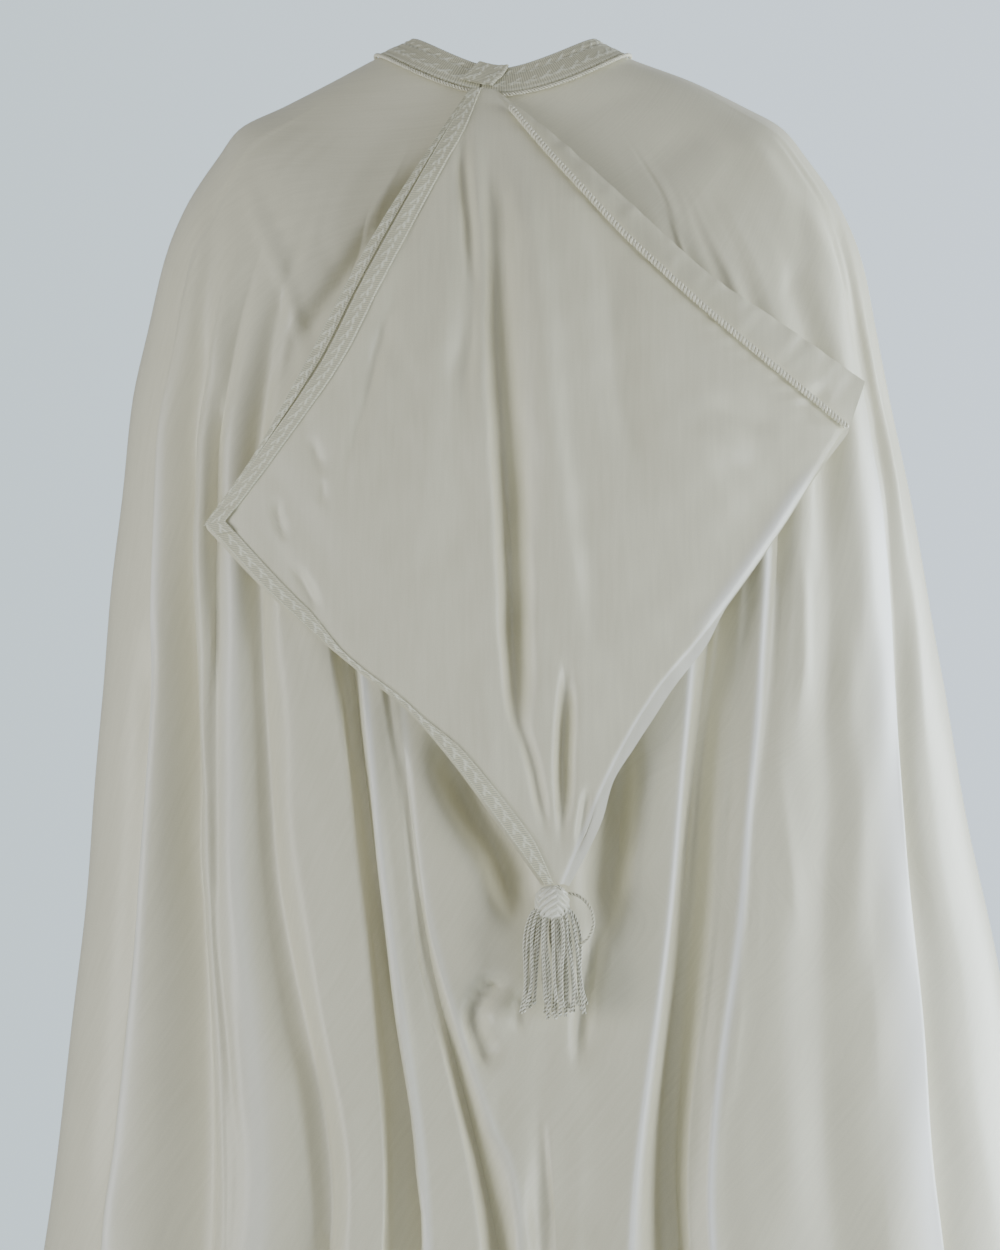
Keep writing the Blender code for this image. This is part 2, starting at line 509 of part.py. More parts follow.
def hood_grid(rows):
    """The upper layer: an edge column, the braid's inner line, and even columns to the far edge."""
    left = upper_outline("left", rows)
    right = upper_outline("right", rows)
    span = np.linalg.norm(right - left, axis=-1)
    width = follow([at for at, _ in BRAID_WIDTHS], [wide for _, wide in BRAID_WIDTHS], rows)
    braid = np.minimum(width / span, BRAID_MOST_SHARE)
    part = np.linspace(0.0, 1.0, HOOD_COLUMNS)
    share = np.concatenate([np.zeros((len(rows), 1)), braid[:, None] + (1.0 - braid[:, None]) * part], 1)
    flat = left[:, None, :] + (right - left)[:, None, :] * share[..., None]
    return flat


def make_hood():
    """Two layers of cloth, one inside the other, and the braids and cord along their edges."""
    rows = np.array(HOOD_ROWS)
    behind = np.array([0.0, -1.0, 0.0])
    flat = hood_grid(rows)
    margin_left = under_outline("left", rows)[:, None, :]
    margin_braid = margin_left + MARGIN_BRAID_SHARE * (flat[:, :1] - margin_left)
    margin_right = under_outline("right", rows)[:, None, :]
    sheet = hood_sheet(np.concatenate([margin_left, margin_braid, flat, margin_right], 1))
    normal = outward(sheet, behind)

    def layer(name, top, thickness, finish_name, part):
        outer = sheet + top * normal
        inner = sheet + (top - thickness) * normal
        wall(name, outer[part], inner[part], finish_name)

    corner = HOOD_ROWS.index(0.50)
    under_top = -HOOD_CLOTH - SEAM_GAP
    braid_top = SEAM_GAP + BRAID
    layer("hood_outer_layer", 0.0, HOOD_CLOTH, "ivory_crepe", np.s_[:, 2:-1])
    layer("hood_under_layer", under_top, HOOD_CLOTH, "ivory_crepe", np.s_[:, :])
    layer("hood_face_braid_outer", braid_top, BRAID, "braid", np.s_[:corner, 2:4])
    layer("hood_lower_braid", braid_top, BRAID, "braid", np.s_[corner + 1:, 2:4])
    layer("hood_corner_wrap", 2.0 * braid_top, BRAID, "braid", np.s_[corner - 1:corner + 2, 2:4])
    layer("hood_face_braid_under", under_top + braid_top, BRAID, "braid", np.s_[:corner + 1, :2])

    seam = sheet + (HOOD_CORD / 2.0 + SEAM_GAP) * normal
    cord("hood_seam_cord", seam[1:corner + 1, -2], HOOD_CORD, "twisted_cord")


def make_top_wrap():
    """The braid's end, turned up over the crossing of the neck bands to the neckline."""
    first = NAPE_ANGLE - WRAP_HALF_ANGLE
    patch = neck_rows(WRAP_STEPS, first, NAPE_ANGLE + WRAP_HALF_ANGLE, WRAP_COLUMNS)
    laid_on("hood_top_wrap", patch, from_axis(patch), LIE_GAP + BRAID + WRAP_GAP, BRAID, "braid")


# ---- tassel
def turned(name, centre, profile, sides):
    """A round body turned about an upright line from (height, radius) pairs, closed at both ends."""
    around = 2.0 * math.pi * np.arange(sides) / sides
    shape = bmesh.new()
    rings = []
    for height, radius in profile:
        x = centre[0] + radius * np.cos(around)
        y = centre[1] + radius * np.sin(around)
        rings.append([shape.verts.new((x[k], y[k], centre[2] + height)) for k in range(sides)])
    skin(shape, rings)
    return finished(shape, name)


def skin(shape, rings):
    """Faces between neighbouring rings of points, and a cap on the first and the last ring."""
    sides = len(rings[0])
    for upper, lower in zip(rings, rings[1:]):
        for side in range(sides):
            ahead = (side + 1) % sides
            shape.faces.new((upper[side], upper[ahead], lower[ahead], lower[side]))
    shape.faces.new(rings[0])
    shape.faces.new(rings[-1])


def finished(shape, name):
    """Turn a closed shape's faces outwards and keep it as a mesh."""
    bmesh.ops.recalc_face_normals(shape, faces=shape.faces)
    mesh = bpy.data.meshes.new(name)
    shape.to_mesh(mesh)
    shape.free()
    return mesh


def strand_mesh():
    """All strands as four-sided rods that run from the head's inside, down and slightly apart."""
    shape = bmesh.new()
    corners = 2.0 * math.pi * np.arange(STRAND_SIDES) / STRAND_SIDES
    for ring in STRAND_RINGS:
        for k in range(ring.count):
            around = 2.0 * math.pi * (k + ring.turn) / ring.count
            length = ring.length * (1.0 + UNEVEN_CUT * math.sin(UNEVEN_STEP * k + ring.count))
            rows = []
            for part in STRAND_STATIONS:
                flare = part ** STRAND_FLARE
                size = TASSEL_STRAND_RADIUS * (ROOT_SIZE + (1.0 - ROOT_SIZE) * flare)
                x = math.cos(around) * (ring.root_x + (ring.end_x - ring.root_x) * flare)
                y = math.sin(around) * (ring.root_y + (ring.end_y - ring.root_y) * flare)
                x = TASSEL_TOP[0] + x + size * np.cos(around + corners)
                y = TASSEL_TOP[1] + y - TASSEL_LEAN * part + size * np.sin(around + corners)
                z = TASSEL_TOP[2] - TASSEL_HEAD_HEIGHT * ROOT_DEPTH - length * part
                rows.append([shape.verts.new((x[side], y[side], z)) for side in range(STRAND_SIDES)])
            skin(shape, rows)
    return finished(shape, "tassel_strands")


def make_tassel():
    """A knotted head with its strands grown out of it, and the loose loop of cord beside it."""
    profile = [(height * TASSEL_HEAD_HEIGHT, radius * TASSEL_HEAD_RADIUS) for height, radius in HEAD_PROFILE]
    head = make_object("tassel", turned("tassel", TASSEL_TOP, profile, HEAD_SIDES), "tassel_silk")
    strands = bpy.data.objects.new("tassel_strands_helper", strand_mesh())
    bpy.context.scene.collection.objects.link(strands)
    strands.hide_render = True
    strands.display_type = "WIRE"
    joined = head.modifiers.new("strands", "BOOLEAN")
    joined.operation = "UNION"
    joined.solver = "EXACT"
    joined.object = strands
    cord("tassel_loop", smooth_route(LOOP_ROUTE, LOOP_POINTS), LOOP_CORD, "twisted_cord", rounds=2)


def smooth_route(points, count):
    """Evenly spread points on a smooth curve through a few."""
    points = np.array(points)
    reach = np.concatenate(([0.0], np.cumsum(np.linalg.norm(np.diff(points, axis=0), axis=1))))
    at = np.linspace(0.0, reach[-1], count)
    return np.stack([follow(reach, points[:, axis], at) for axis in range(3)], -1)


def main():
    """Build every piece of the cloak."""
    clear_scene()
    make_cloak()
    make_neck_trims()
    make_chest_closure()
    make_hood()
    make_top_wrap()
    make_tassel()


main()
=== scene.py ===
"""Burnous hooded cloak: the finished cloth, braids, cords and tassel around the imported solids.

Metres, +Z up. The origin is the middle of the neck at the height of the nape, +X is the wearer's right
and +Y is the way the wearer faces. Every surface is worked out as whole arrays of points.
"""

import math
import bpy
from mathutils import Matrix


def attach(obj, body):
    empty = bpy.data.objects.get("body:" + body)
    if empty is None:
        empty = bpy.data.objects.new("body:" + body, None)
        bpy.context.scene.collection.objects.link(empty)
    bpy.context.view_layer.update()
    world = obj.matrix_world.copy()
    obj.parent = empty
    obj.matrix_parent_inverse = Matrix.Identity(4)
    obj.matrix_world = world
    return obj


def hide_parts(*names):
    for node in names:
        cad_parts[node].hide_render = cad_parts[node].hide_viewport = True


bl_info = {
    "name": "Burnous Hooded Cloak",
    "version": (1, 0, 0),
    "blender": (4, 5, 0),
    "location": "3D View > Sidebar > Burnous",
    "description": "Builds the draped cloak, its flat hood, woven braids, twisted cords and tassel",
    "category": "Add Mesh",
}

from collections import namedtuple

import bpy
import numpy as np

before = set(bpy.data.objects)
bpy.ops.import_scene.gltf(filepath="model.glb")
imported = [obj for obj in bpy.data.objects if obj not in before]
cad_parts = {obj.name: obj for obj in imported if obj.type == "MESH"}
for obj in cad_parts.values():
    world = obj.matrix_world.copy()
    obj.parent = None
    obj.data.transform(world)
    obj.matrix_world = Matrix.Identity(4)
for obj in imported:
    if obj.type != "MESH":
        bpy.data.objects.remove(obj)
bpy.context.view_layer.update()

# ---- sizes shared with the part's source, metres
HOOD_CLOTH = 0.0015
BRAID = 0.0012
NECK_BAND_WIDTH = 0.025
NECK_CORD = 0.0030
HOOD_CORD = 0.0046
LOOP_CORD = 0.0025
SEAM_GAP = 0.0004
LIE_GAP = 0.0006
CORNER = 0.80              # how square the cloak's section is: 1 is an ellipse, less is squarer
CREST_BREADTH = 1.35       # power that broadens the crests and narrows the valleys

TASSEL_TOP = (0.0350, -0.1946, -0.5747)
TASSEL_HEAD_RADIUS = 0.0110
TASSEL_HEAD_HEIGHT = 0.0220
TASSEL_STRAND_RADIUS = 0.00128


# ---- tables, with their lengths in millimetres
def metres(value):
    """A length given in millimetres, or a list of points of them, in metres."""
    if isinstance(value, (list, tuple)):
        return [metres(part) for part in value]
    return value / 1000.0


def table(kind, plain, rows):
    """Rows as records in metres; the plain columns are kept as they are written."""
    return [kind(*[value if field in plain else metres(value) for field, value in zip(kind._fields, row)])
            for row in rows]


# rings of the cloak's form by how far down the cloth they lie (step): half widths, height at the side,
# depth and height at the back and at the front, how sharply the side drops, half gap at the front edges
Section = namedtuple("Section", "name step left right side_z back back_z front front_z notch gap")
SECTIONS = table(Section, ("name", "notch"), [
    ("neckline", 0, 62, 68, 22, 58, -6, 70, -50, 1.2, 6),
    ("band edge", 25, 87, 91, 10, 75, -26, 90, -68, 1.4, 6),
    ("neck slope", 60, 121, 139, -8, 89, -58, 103, -98, 1.7, 6),
    ("shoulder", 100, 156, 176, -26, 104, -92, 114, -130, 2.0, 6),
    ("shoulder end", 140, 188, 204, -42, 118, -126, 124, -162, 2.0, 6),
    ("upper arm", 175, 204, 221, -63, 128, -158, 131, -192, 2.0, 6),
    ("arm", 215, 227, 245, -99, 136, -193, 136, -222, 2.0, 6),
    ("arm middle", 260, 242, 260, -136, 142, -228, 140, -252, 2.0, 7),
    ("chest", 310, 254, 271, -188, 147, -268, 143, -288, 2.0, 8),
    ("blade", 370, 265, 282, -243, 151, -312, 146, -328, 2.0, 10),
    ("elbow", 450, 273, 298, -318, 155, -372, 149, -382, 2.0, 13),
    ("waist", 550, 283, 316, -415, 160, -450, 154, -455, 2.0, 18),
    ("seat", 680, 295, 339, -548, 176, -560, 168, -560, 2.0, 24),
    ("thigh", 780, 305, 361, -650, 190, -655, 182, -655, 2.0, 28),
    ("knee", 930, 323, 386, -800, 214, -800, 204, -800, 2.0, 34),
    ("calf", 1090, 347, 412, -960, 240, -960, 228, -960, 2.0, 40),
    ("shin", 1310, 384, 446, -1180, 278, -1180, 260, -1180, 2.0, 47),
    ("hem", 1550, 424, 480, -1420, 318, -1420, 295, -1420, 2.0, 55),
])

# folds from the left front edge over the back to the right front edge: where each runs (x) and how deep it
# lies at the blade, seat, knee and hem; lean moves a crest sideways, to +x where it is positive, so that its
# cloth lies over the next valley. For an outline only the sign of x counts
Fold = namedtuple("Fold", "name face x_blade x_seat x_knee x_hem blade seat knee hem crisp lean")
FOLDS = table(Fold, ("name", "face", "crisp"), [
    ("left edge", "front", -10, -24, -34, -55, 0, 0, 0, 0, 0.6, 0),
    ("left edge valley", "front", -40, -55, -72, -100, 6, 14, 24, 45, 0.0, 0),
    ("left front ridge", "front", -72, -90, -110, -145, 0, 0, 0, 0, 0.2, 0),
    ("left chest valley", "front", -104, -121, -142, -184, 8, 18, 32, 58, 0.0, 0),
    ("left chest ridge", "front", -136, -155, -176, -226, 0, 0, 0, 6, 0.3, 5),
    ("left ribs valley", "front", -168, -190, -212, -270, 8, 18, 34, 60, 0.0, 0),
    ("left ribs ridge", "front", -200, -225, -250, -320, 0, 0, 0, 0, 0.1, 0),
    ("left arm valley", "front", -228, -254, -280, -360, 8, 18, 30, 55, 0.0, 0),
    ("left arm ridge", "front", -248, -275, -302, -392, 0, 0, 0, 4, 0.2, 0),
    ("left side valley", "front", -259, -288, -316, -414, 5, 12, 18, 38, 0.0, 0),
    ("left outline", "side", -1, -1, -1, -1, 0, 0, 0, 0, 0.2, 0),
    ("left recess", "back", -246.5, -257.5, -278, -362, 12, 22, 28, 40, 0.3, 0),
    ("outer left ridge", "back", -240, -249, -268.5, -348, 0, 0, 0, 0, 0.7, -0.4),
    ("outer left valley", "back", -220.6, -216.5, -206, -272, 16, 28, 30, 32, 0.0, 0),
    ("small left ridge", "back", -208.3, -201.5, -186, -246, 0, 3, 2, 4, 0.3, 0),
    ("small left valley", "back", -198.8, -196, -180, -234, 8, 5, 3, 5, 0.2, 0),
    ("long left ridge", "back", -188.5, -182.7, -165, -216, 0, 0, 0, 2, 0.2, 0),
    ("long left valley", "back", -173, -158, -116.5, -152, 11, 16, 20, 50, 0.0, 0),
    ("inner left ridge", "back", -158, -132.5, -97.7, -121, 1, 0, 0, 0, 0.1, 0),
    ("inner left edge", "back", -130, -98.5, -79, -100, 1, 1, 2, 2, 0.9, 1),
    ("inner left floor", "back", -125, -94, -73.5, -88, 10, 15, 20, 36, 0.2, 0),
    ("inner left valley", "back", -117, -86.2, -53, -66, 12, 18, 24, 55, 0.5, 0),
    ("left pleat", "back", -105, -77.2, -47.1, -44, 0, 0, 0, 0, 0.8, -4),
    ("left pleat lip", "back", -96, -67, -15, -36, 1, 0, 0, 2, 0.6, 0),
    ("left pleat valley", "back", -90, -60, -5, -18, 0, 3, 21, 36, 0.3, 0),
    ("swag left edge", "back", -78, -56.2, 10.5, 18, 0, 0, 2, 0, 0.5, 0),
    ("swag left valley", "back", -31, -15, 25, 36, 2, 0.5, 7, 18, 0.0, 0),
    ("swag ridge", "back", 14, 30, 38, 54, 0, 1, 4, 0, 0.0, 0),
    ("swag right valley", "back", 68, 70, 56, 76, 6, 5, 3, 45, 0.0, 0),
    ("right pleat", "back", 134, 112.5, 79.5, 104, 0, 0, 0, 0, 0.7, 7.5),
    ("right pleat valley", "back", 156, 129.5, 112, 136, 14, 26, 34, 58, 0.5, 0),
    ("right pleat floor", "back", 162, 136.6, 122.5, 147, 13, 24, 32, 50, 0.4, 0),
    ("right ledge", "back", 174, 153, 128.5, 157, 6, 8, 10, 18, 0.4, 0),
    ("right ridge", "back", 184, 165, 138.5, 168, 0, 0, 0, 0, 0.8, 1.5),
    ("right shallow valley", "back", 196, 174, 152, 190, 6, 1.5, 3, 35, 0.0, 0),
    ("right soft ridge", "back", 207, 184, 170, 222, 0, 0, 0, 0, 0.1, 0),
    ("right long valley", "back", 229, 224, 226, 280, 6, 7, 8, 50, 0.0, 0),
    ("right panel crest", "back", 248, 252, 262, 330, 0, 0, 0, 1, 0.5, 0),
    ("right panel edge", "back", 265.5, 279.3, 296.4, 365, 3, 5, 6, 8, 0.9, 5),
    ("right panel valley", "back", 271.2, 286, 304, 385, 6, 9, 12, 46, 0.4, 0),
    ("outer right ridge", "back", 276.5, 308, 343, 424, 1, 2, 2, 4, 0.2, 0),
    ("right outline", "side", 1, 1, 1, 1, 0, 0, 0, 0, 0.2, 0),
    ("right side valley", "front", 275, 328, 375, 466, 6, 14, 22, 42, 0.0, 0),
    ("right arm ridge", "front", 262, 312, 355, 440, 0, 0, 0, 4, 0.2, 0),
    ("right arm valley", "front", 242, 288, 328, 404, 8, 18, 30, 55, 0.0, 0),
    ("right ribs ridge", "front", 212, 252, 288, 356, 0, 0, 0, 0, 0.1, 0),
    ("right ribs valley", "front", 178, 210, 240, 300, 8, 18, 34, 60, 0.0, 0),
    ("right chest ridge", "front", 144, 168, 194, 246, 0, 0, 0, 5, 0.3, 5),
    ("right chest valley", "front", 108, 128, 150, 196, 8, 18, 32, 58, 0.0, 0),
    ("right front ridge", "front", 74, 92, 112, 150, 0, 0, 0, 0, 0.2, 0),
    ("right edge valley", "front", 40, 56, 72, 102, 6, 14, 24, 45, 0.0, 0),
    ("right edge", "front", 10, 24, 34, 55, 0, 0, 0, 0, 0.6, 0),
])
STEP = {section.name: section.step for section in SECTIONS}
FOLD_STEPS = [STEP["blade"], STEP["seat"], STEP["knee"], STEP["hem"]]
DEPTH_STEPS = [STEP["upper arm"], STEP["blade"], STEP["seat"], STEP["knee"], STEP["hem"]]
LEAN_GROWTH = (0.0, 0.3, 0.7, 1.0, 1.6)     # how much of its lean a crest has at those steps

# a crease runs down through (x, z) points: a trough where depth is positive, a ridge where it is negative;
# left and right are its widths on either side, ends is the share of its length over which it fades
Crease = namedtuple("Crease", "name depth left right ends points")
BACK_CREASES = table(Crease, ("name", "ends"), [
    ("left shoulder outer", 1.8, 6, 10, 0.25, [(-191, -48), (-201, -89), (-206, -151), (-211, -184),
        (-213, -238)]),
    ("left shoulder inner", -2.6, 6, 12, 0.25, [(-184, -105), (-192, -140), (-196, -175), (-197, -204),
        (-191, -238), (-186, -300)]),
    ("left drag", -2.6, 4.2, 4.4, 0.3, [(-185, -77), (-170, -112), (-157, -145), (-147, -169), (-135, -213),
        (-122, -262)]),
    ("left drag shadow", 0.9, 6, 8, 0.4, [(-172, -90), (-156, -122), (-144, -150), (-139, -164)]),
    ("beside hood left", 7, 6.5, 12, 0.22, [(-37, -61), (-57, -84), (-86, -125), (-114, -166), (-142, -207),
        (-160, -244)]),
    ("left short", 0.9, 3.6, 6, 0.35, [(-129, -127), (-119, -146), (-108, -162)]),
    ("right neck fold", 1.6, 6, 6, 0.3, [(30, -49), (70, -32), (114, -16)]),
    ("right soft", 1.2, 10, 10, 0.35, [(95, -90), (121, -67), (148, -48)]),
    ("right slant", 1.2, 10, 12, 0.3, [(173, -58), (156, -94), (138, -126)]),
    ("right shoulder", 1.6, 9, 7, 0.3, [(206, -76), (211, -110), (213, -153), (213, -199)]),
    ("right short", 1.6, 5, 6, 0.4, [(208, -144), (198, -185)]),
    ("right panel line", 2.6, 6, 4, 0.25, [(223, -87), (240, -123), (249, -162), (258, -215), (268, -266),
        (276, -318)]),
    ("hook", 9, 4.6, 11.5, 0.2, [(14, -640), (-6, -643), (-18, -656), (-18, -672), (-11, -689), (-3, -699)]),
    ("hook ridge", -5.5, 6.5, 8.5, 0.35, [(9, -632), (1, -650), (-6, -668), (-7, -684)]),
    ("hook shade", 5, 5, 6, 0.35, [(14, -640), (13, -660), (10, -678)]),
    ("hook shelf", -2.8, 4, 10, 0.3, [(-10, -672), (20, -667), (47, -663)]),
    ("swag crease", 2.4, 4, 9, 0.25, [(0, -692), (0, -731), (-3, -775)]),
    ("swag foot", 5, 14, 16, 0.3, [(5, -784), (40, -795), (78, -799)]),
    ("beside tip left", 28, 9.5, 18, 0.3, [(-46, -465), (-33, -500), (-18, -530), (-3, -554), (6, -581),
        (16, -612)]),
    ("beside tip right", 22, 16, 8, 0.35, [(89, -465), (84, -506), (79, -554), (74, -590), (68, -622)]),
    ("beside tip tail", 8, 6, 6, 0.35, [(71, -585), (63, -622), (57, -656), (50, -711)]),
    ("long slant", -1.6, 4, 7, 0.35, [(187, -479), (195, -547), (204, -621)]),
    ("left low slant", -1.6, 5, 5, 0.35, [(-205, -515), (-203, -554), (-199, -592)]),
    ("left strip edge", -2.8, 3, 6, 0.15, [(-238, -383), (-241, -451), (-245, -506), (-248, -554),
        (-252, -622), (-259, -690), (-265, -759), (-270, -817), (-275, -861)]),
    ("left strip fold", 4, 11, 8, 0.15, [(-244, -383), (-245, -424), (-245, -465), (-248, -506),
        (-252, -554), (-256, -622), (-263, -690), (-269, -759), (-275, -817)]),
    ("pleat line", 2.6, 3.4, 3.4, 0.12, [(-66, -478), (-64, -506), (-59, -554), (-51, -622), (-46, -656),
        (-39, -690)]),
    ("left pleat line", -2.6, 2.6, 4, 0.12, [(-94, -444), (-85, -506), (-79, -554), (-71, -622),
        (-63, -690), (-54, -759), (-44, -817), (-37, -861)]),
    ("low left ridge", -5, 9, 9, 0.25, [(-148, -670), (-143, -718), (-137, -759), (-128, -817),
        (-122, -861)]),
    ("upper ridge line", -3, 4, 5, 0.35, [(209, -342), (208, -410), (206, -465)]),
    ("shoulder ridge line", -2.8, 5, 5, 0.35, [(-208, -294), (-207, -362), (-204, -410), (-199, -458)]),
])
# the same kinds of crease over the chest and at the front's shoulders, which the hood does not cover
FRONT_CREASES = table(Crease, ("name", "ends"), [
    ("left chest drag", -3, 12, 7, 0.3, [(-150, -80), (-128, -130), (-108, -190), (-94, -255)]),
    ("left chest shadow", 2.6, 7, 12, 0.3, [(-134, -85), (-112, -140), (-94, -200)]),
    ("left arm drag", 2.6, 7, 10, 0.3, [(-188, -95), (-193, -160), (-186, -240)]),
    ("left edge pull", 1.8, 7, 7, 0.35, [(-60, -90), (-45, -150), (-36, -215)]),
    ("right chest drag", -3.2, 7, 12, 0.3, [(160, -85), (138, -128), (114, -182), (103, -250)]),
    ("right chest shadow", 2.4, 12, 7, 0.3, [(142, -80), (120, -130), (100, -186)]),
    ("right arm drag", 3, 10, 7, 0.3, [(206, -100), (213, -165), (208, -250)]),
    ("right edge pull", 1.8, 7, 7, 0.35, [(56, -95), (44, -160), (34, -225)]),
])
HOOD_CREASES = table(Crease, ("name", "ends"), [
    ("crossing crease", 6.5, 4.2, 6, 0.4, [(-22, -47), (-25, -67), (-26, -84), (-24, -105), (-22, -125),
        (-21, -145), (-20, -173)]),
    ("beside valley", 6, 11, 8.5, 0.35, [(-22, -115), (-20, -145), (-20, -173), (-22, -206), (-25, -234),
        (-26, -268)]),
    ("beside valley low", 2.4, 12, 12, 0.35, [(-23, -200), (-26, -247), (-28, -288), (-24, -329),
        (-22, -376)]),
    ("crossing roll", -1.6, 5, 5, 0.35, [(-16, -40), (-17, -80), (-14, -125), (-11, -170)]),
    ("long valley", 16, 5.5, 13, 0.42, [(-11, -33), (-8, -64), (-6, -98), (-4, -132), (-3, -166),
        (-3, -200), (-1, -234), (1, -268), (3, -302), (5, -335), (6, -369), (7, -403), (8, -437),
        (12, -471)]),
    ("long valley low", 7.5, 5, 9, 0.35, [(2, -261), (5, -315), (7, -369), (10, -424), (12, -465),
        (14, -492)]),
    ("long valley foot", 8.5, 5, 9, 0.35, [(6, -356), (7, -383), (7, -410), (9, -437), (11, -461),
        (15, -485)]),
    ("long valley shoulder", -1.6, 16, 6, 0.35, [(-16, -150), (-12, -250), (-6, -330), (-2, -410),
        (6, -470)]),
    ("long ridge", -5, 12, 10, 0.22, [(7, -50), (14, -84), (22, -132), (27, -166), (31, -206), (34, -247),
        (38, -288), (44, -329), (50, -369), (54, -410), (59, -451)]),
    ("left crest", -2.6, 11, 11, 0.3, [(-26, -122), (-33, -166), (-39, -206), (-47, -247), (-49, -288),
        (-50, -329), (-47, -369)]),
    ("left fine line", 2.6, 4.5, 5.5, 0.35, [(-65, -154), (-71, -173), (-82, -206), (-91, -247),
        (-103, -288), (-111, -329)]),
    ("lower crest", -2.4, 7, 7, 0.35, [(-20, -410), (-12, -444), (-5, -492), (3, -522)]),
    ("right soft valley", 6.5, 12, 17, 0.3, [(54, -98), (67, -132), (76, -166), (79, -206), (83, -247),
        (92, -288), (102, -329)]),
    ("left soft valley", 3.2, 10, 10, 0.35, [(-62, -140), (-75, -190), (-87, -226), (-95, -262)]),
    ("tip groove", 12, 4, 6, 0.45, [(45, -410), (44, -451), (42, -488), (42, -519), (41, -560)]),
    ("tip left groove", 5.2, 4, 5, 0.35, [(8, -452), (16, -475), (22, -495), (27, -519), (33, -549)]),
    ("tip right groove", 4, 3.5, 4, 0.35, [(60, -505), (56, -529), (52, -553)]),
    ("left nick high", 2.6, 2.8, 4.5, 0.4, [(-133, -268), (-126, -284), (-120, -300)]),
    ("left nick", 2.6, 2, 4.5, 0.35, [(-156, -310), (-152, -328), (-147, -345)]),
    ("left nick low", 2.6, 2.4, 5, 0.35, [(-143, -357), (-133, -374), (-124, -393)]),
    ("left nick inner", 1.8, 2.4, 3, 0.4, [(-122, -299), (-121, -310), (-119, -320)]),
    ("right crescent", 1.4, 3, 4, 0.35, [(204, -245), (212, -250), (213, -260)]),
    ("right hollow", 1.8, 6, 6, 0.4, [(214, -236), (222, -240), (230, -242)]),
    ("right shade", 2, 8, 10, 0.35, [(135, -246), (165, -256), (197, -268)]),
    ("right shade low", -1.6, 7, 9, 0.35, [(125, -262), (150, -276), (175, -290)]),
    ("left top pull", 1.6, 5, 6, 0.35, [(-40, -80), (-58, -118), (-68, -158)]),
    ("middle soft", 2.6, 14, 14, 0.3, [(52, -275), (58, -330), (60, -385), (55, -430)]),
    ("left long soft", 2.4, 14, 14, 0.3, [(-55, -300), (-36, -360), (-12, -425), (12, -480)]),
])

# outlines of the hood's two layers seen from behind, x and z from the neck crossing to the tip
HOOD_EDGES = {name: metres(points) for name, points in {
    "upper left": [(-19, -23.5), (-31, -45), (-59, -97), (-97, -170), (-120, -217), (-163, -280),
        (-201, -331)],
    "under left": [(-22, -23.5), (-45, -61), (-94, -143), (-133, -219), (-169, -283), (-204.5, -332)],
    "upper right": [(-5, -23.5), (26, -64), (86, -132), (126, -170), (167, -205), (239, -263)],
    "under right": [(-2, -23.5), (30, -50), (86, -103), (117, -132), (149, -160), (192, -188), (257, -231)],
    "upper lower left": [(-201, -331), (-154, -380), (-96, -430), (-66, -453), (-40, -481), (9, -545),
        (30, -574)],
    "upper lower right": [(239, -263), (185, -345), (136, -410), (108, -443), (76, -497), (43, -574)],
}.items()}

# ---- the cloak's mesh and its small forms, metres
BACK_APART = 0.0038        # distance between columns on the back
FRONT_APART = 0.0120       # the same on the front
CRISP_APART = 0.0013       # the same beside a crisp fold
CRISP_REACH = 0.0055       # how wide the close columns reach
CRISP = 0.30               # folds at least this crisp get the close columns
PLACES_READ = 9000         # places at which the columns' density is worked out
# how far down the cloth each run of rows reaches, and how far apart its rows are
ROW_RUNS = [(0.25, 0.0068), (0.70, 0.0125), (0.87, 0.0060), (1.00, 0.0130), (1.535, 0.0240), (1.55, 0.0040)]
HIGHLIGHT_SHIFT = 0.0010       # the painted highlight's line lies this far to the right of the fold's own line
HIGHLIGHT_FADE = (0.30, 0.48)  # the painted highlight on the crests sets in between these steps
# how strong the painted highlight along each crest is, and how wide it reaches to its left and right
CREST_HIGHLIGHTS = {
    "outer left ridge": (0.60, 0.0020, 0.0050), "long left ridge": (0.40, 0.0100, 0.0080),
    "left pleat": (0.80, 0.0022, 0.0030), "swag left edge": (0.35, 0.0025, 0.0030),
    "right pleat": (1.0, 0.0022, 0.0030), "right ridge": (1.0, 0.0024, 0.0030),
    "right panel edge": (1.0, 0.0220, 0.0030),
}
FACE_TURN = (-0.01, 0.03)  # the front's creases take over from the back's between these y
CREASES_FROM = (0.030, 0.060)        # creases set in between these steps,
UNEVEN_FROM = (0.05, 0.22)           # the cloak's unevenness between these,
HOOD_UNEVEN_FROM = (0.03, 0.09)      # and the hood's this far below the neck
# soft unevenness: height, seed, number of waves, and the range of their lengths across and down
CLOAK_UNEVEN = [(0.0011, 11, 7, (1.6, 5.0), (0.35, 1.2)), (0.0005, 12, 9, (0.7, 2.2), (0.10, 0.40))]
HOOD_UNEVEN = [(0.0007, 31, 7, (0.06, 0.20), (0.10, 0.40)), (0.00035, 32, 8, (0.025, 0.06), (0.03, 0.10))]
CREASE_POINTS = 28         # points along a crease's line
CREASE_REACH = 3.0         # a crease is worked out this many of its widths away from its line
HEM_START = 0.012          # the hem begins to thicken this far from its end,
HEM_FULL = 0.009           # is full here,
HEM_ROUND = 0.004          # and rounds off from here
SHARP_ANGLE = math.radians(62.0)

# ---- the hood: margins and braid widths by row, from the neck (0) over the corners (0.5) to the tip (1)
UNDER_MARGINS = {
    "left": [(0.50, 0.0030), (0.70, 0.0015), (1.00, 0.0020)],
    "right": [(0.50, 0.0050), (0.56, 0.0016), (0.70, 0.0012), (0.745, 0.0066), (0.77, 0.0074),
              (0.82, 0.0082), (0.86, 0.0068), (0.895, 0.0045), (0.935, 0.0080), (1.00, 0.0040)],
}
